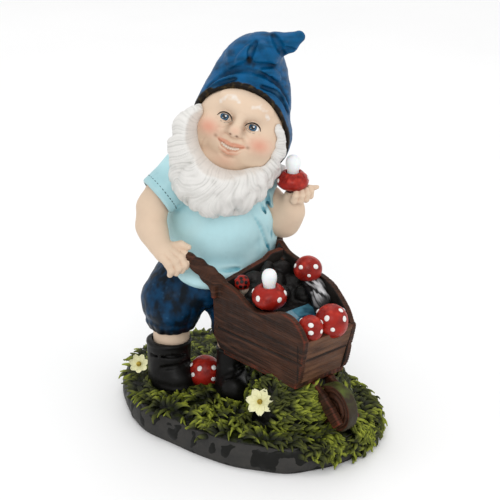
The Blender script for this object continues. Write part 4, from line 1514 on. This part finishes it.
# ------------------------------------------------------------------ base
RIM = [(-65, 75), (-72, 60), (-78, 44), (-81, 26), (-77.5, 3), (-73.5, -20), (-67.5, -44), (-61, -61), (-49, -79), (-36, -95), (-19, -103), (-4.5, -108), (11, -110), (30, -108), (46, -102),
       (59, -92), (68, -80), (75, -60), (80, -34), (81.5, 0), (79, 40), (70, 76), (46, 102), (10, 115), (-25, 112), (-50, 95)]
RIM_S = smooth_curve(RIM, 160, True)
KEEP_OUT = [((-28.5, -52), 9.5), ((-38.5, 46), 19), ((-41, 32), 15), ((-9, 6), 13.5), ((-14, -4), 13), ((-18, -14), 12), ((-19.5, 26.5), 10)]


def ground_top(x, y):
    """Height of the ground at x, y."""
    dome = np.sqrt(np.clip(1 - (x / 74.0) ** 2 - ((y - 2) / 100.0) ** 2, 0, 1)) * 9.0
    base = 16.5 + dome
    sx = np.where(x > 8, 42.0, 37.0)
    sy = np.where(y > -53, 36.0, 38.0)
    q = 1 - (((x - 8) / sx) ** 2 + ((y + 53) / sy) ** 2)
    mound = 20 + 54 * np.sqrt(np.clip(q, 0, 1))
    return smax2(base, np.minimum(mound, 60.2), 6.0)


def smax2(a, b, k):
    h = np.clip(k - np.abs(a - b), 0, None) / k
    return np.maximum(a, b) + h * h * k * 0.25


def build_ground():
    h = 0.95
    F = Field((-86, -116, -2), (86, 120, 66), h)
    X, Y, Z = F.ax[0][:, None, None], F.ax[1][None, :, None], F.ax[2][None, None, :]
    d2 = poly_dist(F.ax[0][:, None], F.ax[1][None, :], RIM_S)[:, :, None]
    gt = ground_top(F.ax[0][:, None], F.ax[1][None, :])[:, :, None]
    bulge = 0.0 - ((Z - 9.0) / 10.5) ** 2 * 2.6
    side = d2 - bulge
    top = (Z - gt) * 0.8
    k = 5.0
    F.d = (-smin(-side, -top, k) + 0 * Z).astype(f32)
    # rounded stones round the edge
    for k in range(30):
        a = k / 30 * 160
        x0, y0 = RIM_S[int(a) % 160]
        t = unit(A(-x0, -y0, 0))
        r = 9 + 4.5 * math.sin(k * 2.7) + 2.5 * math.sin(k * 5.1)
        F.add(egg(A(x0, y0, 8.5) + t * (r * 0.93), (r, r * 0.95, 8.5 + 1.6 * math.sin(k * 3.3))), 2.2)
    F.limit(lambda x, y, z: 0.35 - z + 0 * x * y)
    # boots press in, the wheel cuts its rut
    F.cut(drum((9.5 - 5.6, -97, 43.5), (9.5 + 5.6, -97, 43.5), 20.2, 20.2, 1.0), 1.5)
    # the battery recess stays open underneath
    F.cut(slab((5, -45, 9), (37.2, 26.3, 12.9), None, 0.3))

    def rough(p, n):
        side = step(0.75, 0.25, n[:, 2]) * step(-0.6, -0.2, n[:, 2])
        r1 = fbm(p * A(1, 1, 0.8), 22, 151, 3)
        r2 = np.abs(fbm(p * A(1, 1, 0.7), 14, 152, 2))
        chip = fbm(p, 5, 153, 3)
        out = side * (1.7 * r1 - 1.2 * r2 + 0.25 * chip - 0.3) + (1 - side) * (0.8 * chip + 0.5 * r1) * step(0.0, 0.3, n[:, 2])
        low = step(0.3, 3.0, p[:, 2])
        inrec = (np.abs(p[:, 0] - 5) < 39) & (np.abs(p[:, 1] + 45) < 28) & (p[:, 2] < 24)
        return np.where(inrec, 0, out) * (0.15 + 0.85 * low)
    p, q, n = sculpt(F, rough, 1)
    p[:, 2] = np.maximum(p[:, 2], 0.3)
    n = normals_of(p, q)
    col, cave = crease_paint(p, q, n, ROCK, ROCK * 0.3, ROCK_DRY, 0.4, 8)
    flat = step(0.25, 0.7, n[:, 2])
    inside = -poly_dist(p[:, 0], p[:, 1], RIM_S)
    turf = flat * step(1.5, 6.0, inside + 3 * noise(p, 9, 156))
    g = lerp3(GREEN_DARK * 0.7 + 0 * p, GREEN * 0.35, np.clip(0.2 + 0.9 * fbm(p, 4, 157, 3) - cave, 0, 1))
    col = lerp3(col, g, turf * 0.8)
    piece("ground_sculpt", p, q, M_GROUND, slot="ground_green", col=col)


def build_grass():
    """Moulded blades in swirling tufts, laid over the ground."""
    rng = np.random.RandomState(17)
    want = 1600
    xs, ys = rng.uniform(-82, 82, 26000), rng.uniform(-110, 116, 26000)
    ins = -poly_dist(xs, ys, RIM_S)
    P3 = np.stack([xs, ys, 0 * xs], -1)
    patch = noise(P3, 24, 161) + 0.5 * noise(P3, 11, 162)
    keep = ins > 1.2
    # a stretch of bare rock along the front-left rim
    az = np.degrees(np.arctan2(ys + 10, xs))
    bare = step(13, 4, ins) * (az < -95) * (az > -150) + step(9, 3, ins) * ((az <= -150) | (az > 100)) * 0.8
    keep &= rng.uniform(0, 1, len(xs)) > bare
    keep &= rng.uniform(0, 1, len(xs)) > np.clip(-patch * 0.9 - 0.25, 0, 0.75)
    for (cx, cy), r in KEEP_OUT:
        keep &= np.hypot(xs - cx, ys - cy) > r
    # under the barrow, and the wheel's rut
    keep &= ~((ys > -80) & (ys < 0) & (xs > near_x(ys, 62) + 3) & (xs < far_x(ys, 62) - 3) & (ground_top(xs, ys) > 56))
    keep &= ~((np.abs(xs - 9.5) < 12) & (ys < -72) & (ys > -119))
    xs, ys, ins = xs[keep][:want], ys[keep][:want], ins[keep][:want]
    th = rng.uniform(0, 2 * math.pi, 900)
    hh = rng.uniform(24, 61, 900)
    rho = np.sqrt(np.clip(1 - ((hh - 20) / 54.0) ** 2, 0, 1))
    bx = 8 + np.where(np.cos(th) > 0, 42.0, 37.0) * rho * np.cos(th)
    by = -53 + np.where(np.sin(th) > 0, 36.0, 38.0) * rho * np.sin(th)
    ok = (by > -93) & ~((np.abs(bx - 9.5) < 12) & (by < -76)) & ~((bx > near_x(by, 62) + 4) & (bx < far_x(by, 62) - 4) & (hh > 57))
    for (cx, cy), r in KEEP_OUT:
        ok &= np.hypot(bx - cx, by - cy) > r * 0.8
    xs, ys = np.concatenate([xs, bx[ok]]), np.concatenate([ys, by[ok]])
    ins = np.concatenate([ins, np.full(int(ok.sum()), 30.0)])
    # a dense patch round the foot of the wheel
    wx, wy = rng.uniform(-12, 34, 420), rng.uniform(-108, -78, 420)
    ok = (np.abs(wx - 9.5) > 7.5) & (np.abs(wx - 9.5) < 20)
    xs, ys = np.concatenate([xs, wx[ok]]), np.concatenate([ys, wy[ok]])
    ins = np.concatenate([ins, -poly_dist(wx[ok], wy[ok], RIM_S)])
    N = len(xs)
    z = ground_top(xs, ys) + 6.0 * np.exp(-((xs - 9.5) / 13.0) ** 2) * np.exp(-((ys + 93) / 13.0) ** 2)
    e = 0.6
    nx = -(ground_top(xs + e, ys) - ground_top(xs - e, ys)) / (2 * e)
    ny = -(ground_top(xs, ys + e) - ground_top(xs, ys - e)) / (2 * e)
    # near the rim the surface turns down
    roll = step(7, 0, ins)
    cx, cy = xs - 0.0, ys - 2.0
    rim_dir = np.stack([cx / 80, cy / 112], -1)
    rim_dir /= np.linalg.norm(rim_dir, axis=1)[:, None] + 1e-9
    nrm = np.stack([nx + 1.4 * roll * rim_dir[:, 0], ny + 1.4 * roll * rim_dir[:, 1], np.ones(N)], -1)
    nrm /= np.linalg.norm(nrm, axis=1)[:, None]
    z = z - 3.2 * roll ** 2
    q0 = np.stack([xs, ys, z], -1)
    # blades that hang over the rim at the front and the left side
    k = rng.randint(0, 160, 1500)
    base2 = RIM_S[k] + rng.uniform(-1.5, 1.5, (1500, 2))
    az2 = np.degrees(np.arctan2(base2[:, 1] + 10, base2[:, 0]))
    zz = rng.uniform(2.5, 18.0, 1500)
    sel = (az2 > -112) & (az2 < 30) & (zz > np.where(az2 < -84, 2.5 + (-84 - az2) * 0.5, 2.5)) & (rng.uniform(0, 1, 1500) < np.where(az2 < 0, 0.7, 0.4))
    base2, zz = base2[sel], zz[sel]
    o2 = np.stack([base2[:, 0] / 80, base2[:, 1] / 112], -1)
    o2 /= np.linalg.norm(o2, axis=1)[:, None]
    inset = 1.4 + ((zz - 9.0) / 10.5) ** 2 * 2.2
    p2 = np.stack([base2[:, 0] - o2[:, 0] * inset, base2[:, 1] - o2[:, 1] * inset, zz], -1)
    n2 = np.stack([o2[:, 0], o2[:, 1], 0.15 + 0.05 * zz], -1)
    n2 /= np.linalg.norm(n2, axis=1)[:, None]
    q0 = np.concatenate([q0, p2])
    nrm = np.concatenate([nrm, n2])
    rim_dir = np.concatenate([rim_dir, o2])
    ins = np.concatenate([ins, np.full(len(p2), 2.0)])
    xs, ys, z = q0[:, 0], q0[:, 1], q0[:, 2]
    N = len(xs)
    swirl = 3.1 * noise(np.stack([xs, ys, 0 * xs], -1), 17, 163) + rng.uniform(-0.55, 0.55, N)
    out = np.arctan2(rim_dir[:, 1], rim_dir[:, 0])
    ang = np.where(ins < 11, out + 0.5 * swirl, out * 0.6 + swirl * 1.3)
    d = np.stack([np.cos(ang), np.sin(ang), 0 * ang], -1)
    hang = np.arange(N) >= N - len(p2)
    d[hang, 2] = rng.uniform(-1.3, 0.5, int(hang.sum()))
    d[hang, :2] = np.stack([-o2[:, 1], o2[:, 0]], -1) * rng.uniform(-1.0, 1.0, len(o2))[:, None]
    d = d - nrm * (d * nrm).sum(1)[:, None]
    d /= np.linalg.norm(d, axis=1)[:, None]
    side = np.cross(nrm, d)
    length = rng.uniform(8.0, 14.0, N) * np.where(ins < 6, 0.85, 1.0)
    width = rng.uniform(1.5, 2.7, N)
    lift = rng.uniform(1.8, 5.4, N) * np.where((ys > 60) & (xs < 60), 0.5, 1.0)
    bend = rng.uniform(-1.5, 1.5, N)
    segs = 6
    prof = [0.55, 1.0, 0.95, 0.75, 0.45, 0.08]
    V = []
    tip = []
    for s in range(segs):
        f = s / (segs - 1)
        c = q0 + d * (length * (f - 0.15))[:, None] + nrm * (-0.6 + lift * math.sin(f * 2.5) * 1.0)[:, None] + side * (bend * f * f * length * 0.35)[:, None]
        w = width * prof[s]
        V += [c - side * w[:, None] - nrm * 0.8, c + nrm * (0.55 * w + 0.1)[:, None], c + side * w[:, None] - nrm * 0.8]
        tip += [np.full(N, f)] * 3
    V = np.stack(V, 1)
    tip = np.stack(tip, 1)
    edge = np.tile(np.array([0.0, 1.0, 0.0] * segs), (N, 1))
    F = []
    for s in range(segs - 1):
        for a, b in ((0, 1), (1, 2)):
            F.append((s * 3 + a, s * 3 + b, s * 3 + 3 + b, s * 3 + 3 + a))
    F = np.array(F)[:, ::-1]
    Q = (F[None] + (np.arange(N) * segs * 3)[:, None, None]).reshape(-1, 4)
    V = V.reshape(-1, 3)
    V[:, 2] = np.maximum(V[:, 2], 0.8)
    tone = rng.uniform(0, 1, N)[:, None] * np.ones((1, segs * 3))
    t, ed, tn = tip.ravel(), edge.ravel(), tone.ravel()
    col = lerp3(GREEN_DARK + 0 * V, GREEN, np.clip(t * 1.35 + 0.35 * ed + 0.3 * tn - 0.62, 0, 1))
    col = lerp3(col, GREEN_LIGHT, np.clip((t - 0.32) * 2.1 * (0.2 + tn) * (0.2 + 0.8 * ed), 0, 1))
    dark = step(-0.1, 0.4, noise(V * A(1, 1, 0.4), 12, 165) + 0.35 * noise(V, 5, 166))
    col = lerp3(col, A(*srgb(22, 24, 18)), dark * 0.75)
    piece("grass_blades", V, Q, M_GRASS, slot="ground_green", col=col)


def build_flowers():
    parts, cols = [], []
    for at, nrm, size, petals, foot in (((-29.6, -53.2, 43.0), (-0.60, -0.66, 0.46), 10.8, 7, (-21.5, -45.8, 37.4)), ((-50.0, 74.0, 30.0), (-0.5, -0.55, 0.66), 8.2, 7, (-48.0, 77.0, 20.0))):
        m = axes_about(nrm)
        c = A(*at) + m[2] * 1.0
        for k in range(petals):
            a = 2 * math.pi * k / petals + 0.25
            nu, nv = 14, 11
            top, bot = [], []
            for i in range(nu):
                f = i / (nu - 1)
                r = 1.2 + (size - 1.2) * f
                half = size * 0.36 * math.sin(math.pi * (0.12 + 0.80 * f) ** 0.9) * (1.0 if f < 0.93 else 0.8)
                for j in range(nv):
                    g = 2 * j / (nv - 1) - 1
                    notch = 0.10 * size * (1 - abs(g)) ** 2 * (f > 0.9)
                    loc = A(r - notch, half * g, 0.6 + 1.9 * f * f + 0.9 * g * g * f - 0.5 * math.sin(f * 3))
                    x = loc[0] * math.cos(a) - loc[1] * math.sin(a)
                    y = loc[0] * math.sin(a) + loc[1] * math.cos(a)
                    top.append(c + m[0] * x + m[1] * y + m[2] * loc[2])
                    bot.append(c + m[0] * x * 0.99 + m[1] * y * 0.99 + m[2] * (loc[2] - 0.75))
            P = np.array(top + bot)
            F = []
            o = nu * nv
            for i in range(nu - 1):
                for j in range(nv - 1):
                    F.append((i * nv + j, (i + 1) * nv + j, (i + 1) * nv + j + 1, i * nv + j + 1))
                    F.append((o + i * nv + j, o + i * nv + j + 1, o + (i + 1) * nv + j + 1, o + (i + 1) * nv + j))
            for i in range(nu - 1):
                F.append((i * nv, o + i * nv, o + (i + 1) * nv, (i + 1) * nv))
                F.append((i * nv + nv - 1, (i + 1) * nv + nv - 1, o + (i + 1) * nv + nv - 1, o + i * nv + nv - 1))
            for j in range(nv - 1):
                F.append((j, j + 1, o + j + 1, o + j))
                b = (nu - 1) * nv
                F.append((b + j, o + b + j, o + b + j + 1, b + j + 1))
            parts.append((P, np.array(F)))
            d = np.linalg.norm(P - c, axis=1) / size
            cc = lerp3(CREAM + 0 * P, A(*srgb(196, 190, 110)), np.clip(0.75 - d * 1.5, 0, 0.8))
            cols.append(lerp3(cc, A(*srgb(252, 250, 214)), step(0.6, 1.0, d) * 0.6))
        # eye of the flower
        prof = [(0, 1.7), (0.9, 1.55), (1.7, 1.0), (2.1, 0.2), (1.9, -0.6), (0, -0.8)]
        p, q = lathe(prof, c + m[2] * 0.9, m, 24)
        parts.append((p, q))
        cols.append(lerp3(A(*srgb(196, 168, 60)) + 0 * p, A(*srgb(110, 90, 30)), np.clip(0.4 + 0.6 * noise(p, 1.2, 171), 0, 1)))
        p, q = sweep([A(*foot), (A(*foot) + c) / 2, c - m[2] * 0.2], [2.1, 1.8, 1.6], 10)
        parts.append((p, q))
        cols.append(np.tile(GREEN_DARK * 1.6, (len(p), 1)))
    p, q = merge(parts)
    piece_mixed("flowers_sculpt", p, q, M_FLOWER, replaces=("flowers",), slot="flower_cream", col=np.concatenate(cols))


def build_wheel():
    # wheel: a carved disc with rings, its fork arms wood-painted
    F = Field((2, -120, 22), (18, -74, 66), 0.5)
    c = A(9.5, -97, 43.5)
    F.add(drum(c - A(4.6, 0, 0), c + A(4.6, 0, 0), 19.0, 19.0, 1.4))
    X, Y, Z = F.ax[0][:, None, None], F.ax[1][None, :, None], F.ax[2][None, None, :]
    rad = np.sqrt((Y - c[1]) ** 2 + (Z - c[2]) ** 2)
    prof = 0.9 * np.exp(-((rad - 7.2) / 1.2) ** 2) + 1.0 * np.exp(-((rad - 12.2) / 1.2) ** 2) + 0.9 * np.exp(-((rad - 15.6) / 0.7) ** 2)
    F.d = np.maximum(F.d, (np.abs(X - c[0]) - 4.6 + prof).astype(f32))
    F.add(drum(c - A(5.4, 0, 0), c + A(5.4, 0, 0), 3.6, 3.6, 1.0), 0.8)
    p, q, n = sculpt(F, lambda p, n: 0.35 * fbm(p, 4, 181, 3), 1)
    rel = p - c
    rr = np.hypot(rel[:, 1], rel[:, 2])
    across, along = (lambda p: np.hypot(p[:, 1] - c[1], p[:, 2] - c[2])), (lambda p: 12 * np.arctan2(p[:, 2] - c[2], p[:, 1] - c[1]))
    col = wood_colour(p, q, n, across, along, 7)
    tread = step(17.4, 18.4, rr)
    col = lerp3(col, A(*srgb(52, 48, 36)), tread * 0.8)
    col = lerp3(col, A(*srgb(96, 112, 44)), tread * np.clip(0.3 + fbm(p, 6, 183, 2), 0, 1) * step(0.2, 0.8, n[:, 2]) * 0.7)
    col = lerp3(col, A(*srgb(110, 44, 30)), step(16.4, 18.0, rr) * (1 - tread) * np.clip(0.1 + 1.5 * fbm(p, 5, 184, 2), 0, 1) * 0.7)
    piece("barrow_wheel_sculpt", p, q, M_WOOD, replaces=("barrow_wheel",), slot="wheel_paint", col=col)
    F = Field((-6, -120, 24), (26, -64, 68), 0.6)
    for x0 in (1.3, 17.7):
        pts = [(x0, -73.5, 57.0), (x0, -80, 55.4), (x0, -90, 50.2), (x0, -99, 43.5), (x0, -106.5, 35.8)]
        for k in range(4):
            a, b = A(*pts[k]), A(*pts[k + 1])
            t = unit(b - a)
            up = np.cross(t, (1, 0, 0))
            m = np.array([[1, 0, 0], t, up])
            F.add(slab((a + b) / 2, (2.5, np.linalg.norm(b - a) / 2 + 2.0, 6.0 - 0.3 * k), m, 1.3), 1.5)
    F.add(drum((-1.2, -97, 43.5), (20.2, -97, 43.5), 2.9, 2.9, 0.6), 0.6)
    across, along = (lambda p: p[:, 2] * 0.75 - p[:, 1] * -0.66), (lambda p: p[:, 1] * 0.75 - p[:, 2] * 0.66)
    p, q, n = sculpt(F, wood_displace(across, along, 0.34), 0)
    col = wood_colour(p, q, n, across, along, 9)
    piece("wheel_fork_sculpt", p, q, M_WOOD, replaces=("wheel_fork",), slot="wheel_paint", col=col)


# ------------------------------------------------------------------ CAD pieces left as they are
def dress(name, mat):
    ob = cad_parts[name]
    if len(ob.data.materials) == 0:
        ob.data.materials.append(mat)
    for k in range(len(ob.data.materials)):
        ob.data.materials[k] = mat


def panel_material():
    m, nt, bs = material("solar_cells")
    tc = node(nt, "ShaderNodeTexCoord")
    br = node(nt, "ShaderNodeTexBrick")
    br.offset = 0.0
    br.inputs["Scale"].default_value = 1.0
    br.inputs["Mortar Size"].default_value = 0.00022
    br.inputs["Brick Width"].default_value = 0.0085
    br.inputs["Row Height"].default_value = 0.0260
    br.inputs["Color1"].default_value = (*srgb(14, 26, 48), 1)
    br.inputs["Color2"].default_value = (*srgb(18, 32, 58), 1)
    br.inputs["Mortar"].default_value = (*srgb(150, 158, 168), 1)
    nt.links.new(tc.outputs["Object"], br.inputs["Vector"])
    n1 = tex(nt, 300, 2.0)
    nt.links.new(mix(nt, remap(nt, n1, 0.3, 0.7, 0.0, 0.25), br.outputs["Color"], srgb(30, 60, 96)), bs.inputs["Base Color"])
    nt.links.new(remap(nt, n1, 0.3, 0.7, 0.15, 0.25), bs.inputs["Roughness"])
    return m


def glass(name, tint, rough=0.03):
    m, nt, bs = material(name)
    n1 = tex(nt, 500, 2.0)
    nt.links.new(mix(nt, n1, tint, tuple(min(1, c * 1.05) for c in tint)), bs.inputs["Base Color"])
    nt.links.new(remap(nt, n1, 0.3, 0.7, rough, rough * 1.8), bs.inputs["Roughness"])
    bs.inputs["Transmission Weight"].default_value = 0.9
    bs.inputs["IOR"].default_value = 1.45
    return m


def window_material():
    m, nt, bs = material("panel_window_resin")
    n1 = tex(nt, 60, 2.0)
    nt.links.new(mix(nt, remap(nt, n1, 0.4, 0.6, 0.0, 1.0), srgb(22, 60, 84), srgb(96, 160, 184)), bs.inputs["Base Color"])
    nt.links.new(remap(nt, n1, 0.3, 0.7, 0.05, 0.09), bs.inputs["Roughness"])
    bs.inputs["Coat Weight"].default_value = 0.6
    bs.inputs["Coat Roughness"].default_value = 0.03
    return m


def lens_material():
    m, nt, bs = material("lens_diffuser")
    n1 = tex(nt, 300, 3.0)
    nt.links.new(mix(nt, n1, srgb(246, 246, 246), srgb(236, 238, 240)), bs.inputs["Base Color"])
    nt.links.new(remap(nt, n1, 0.3, 0.7, 0.28, 0.4), bs.inputs["Roughness"])
    bs.inputs["Subsurface Weight"].default_value = 0.25
    bs.inputs["Subsurface Scale"].default_value = 0.003
    bs.inputs["Coat Weight"].default_value = 0.2
    bump(nt, bs, tex(nt, 420, 2.0), 0.15, 0.0004)
    return m


def dress_cad():
    lens = lens_material()
    dress("hand_lens", lens)
    dress("barrow_lens", lens)
    led = glass("led_epoxy", (0.9, 0.92, 0.86), 0.05)
    dress("hand_led", led)
    dress("barrow_led", led)
    dress("solar_panel", panel_material())
    dress("panel_window", window_material())
    wire = plain("wire_jacket", srgb(22, 22, 22), srgb(34, 34, 34), (0.4, 0.55), 900)
    for n in ("hand_lamp_wire", "barrow_lamp_wire", "panel_wire"):
        dress(n, wire)
    abs_m = plain("black_abs", srgb(24, 24, 25), srgb(30, 30, 31), (0.38, 0.5), 1500, bump_s=0.25, grain=4000)
    for n in ("battery_box", "battery_cover", "switch_housing", "switch_slider"):
        dress(n, abs_m)
    steel = plain("steel_plate", srgb(168, 168, 166), srgb(190, 190, 188), (0.22, 0.36), 900, 1.0, squash=(1, 6, 1))
    for n in ("positive_contact", "negative_spring", "cover_screws"):
        dress(n, steel)
    dress("battery_cell", plain("cell_jacket", srgb(40, 116, 78), srgb(34, 100, 68), (0.25, 0.35), 300, coat=0.3))
    dress("circuit_board", plain("board_green", srgb(18, 74, 44), srgb(24, 90, 54), (0.3, 0.42), 700))
    dress("driver_chip", plain("chip_black", srgb(20, 20, 20), srgb(28, 28, 28), (0.5, 0.6), 900))
    dress("choke_coil", plain("coil_green", srgb(52, 110, 70), srgb(44, 96, 60), (0.3, 0.45), 700))
    dress("cover_gasket", plain("gasket_rubber", srgb(30, 30, 30), srgb(38, 38, 38), (0.7, 0.85), 600))
    dress("ground_base", plain("ground_underside", srgb(36, 35, 33), srgb(52, 50, 47), (0.6, 0.8), 120, bump_s=0.4, bump_d=0.0006, grain=500))


build_head()
build_eyes()
build_hat()
build_beard()
build_shirt()
build_arms()
build_legs()
build_boots()
build_boards()
build_soil()
build_toadstools()
build_wheel()
build_ground()
build_grass()
build_flowers()
dress_cad()
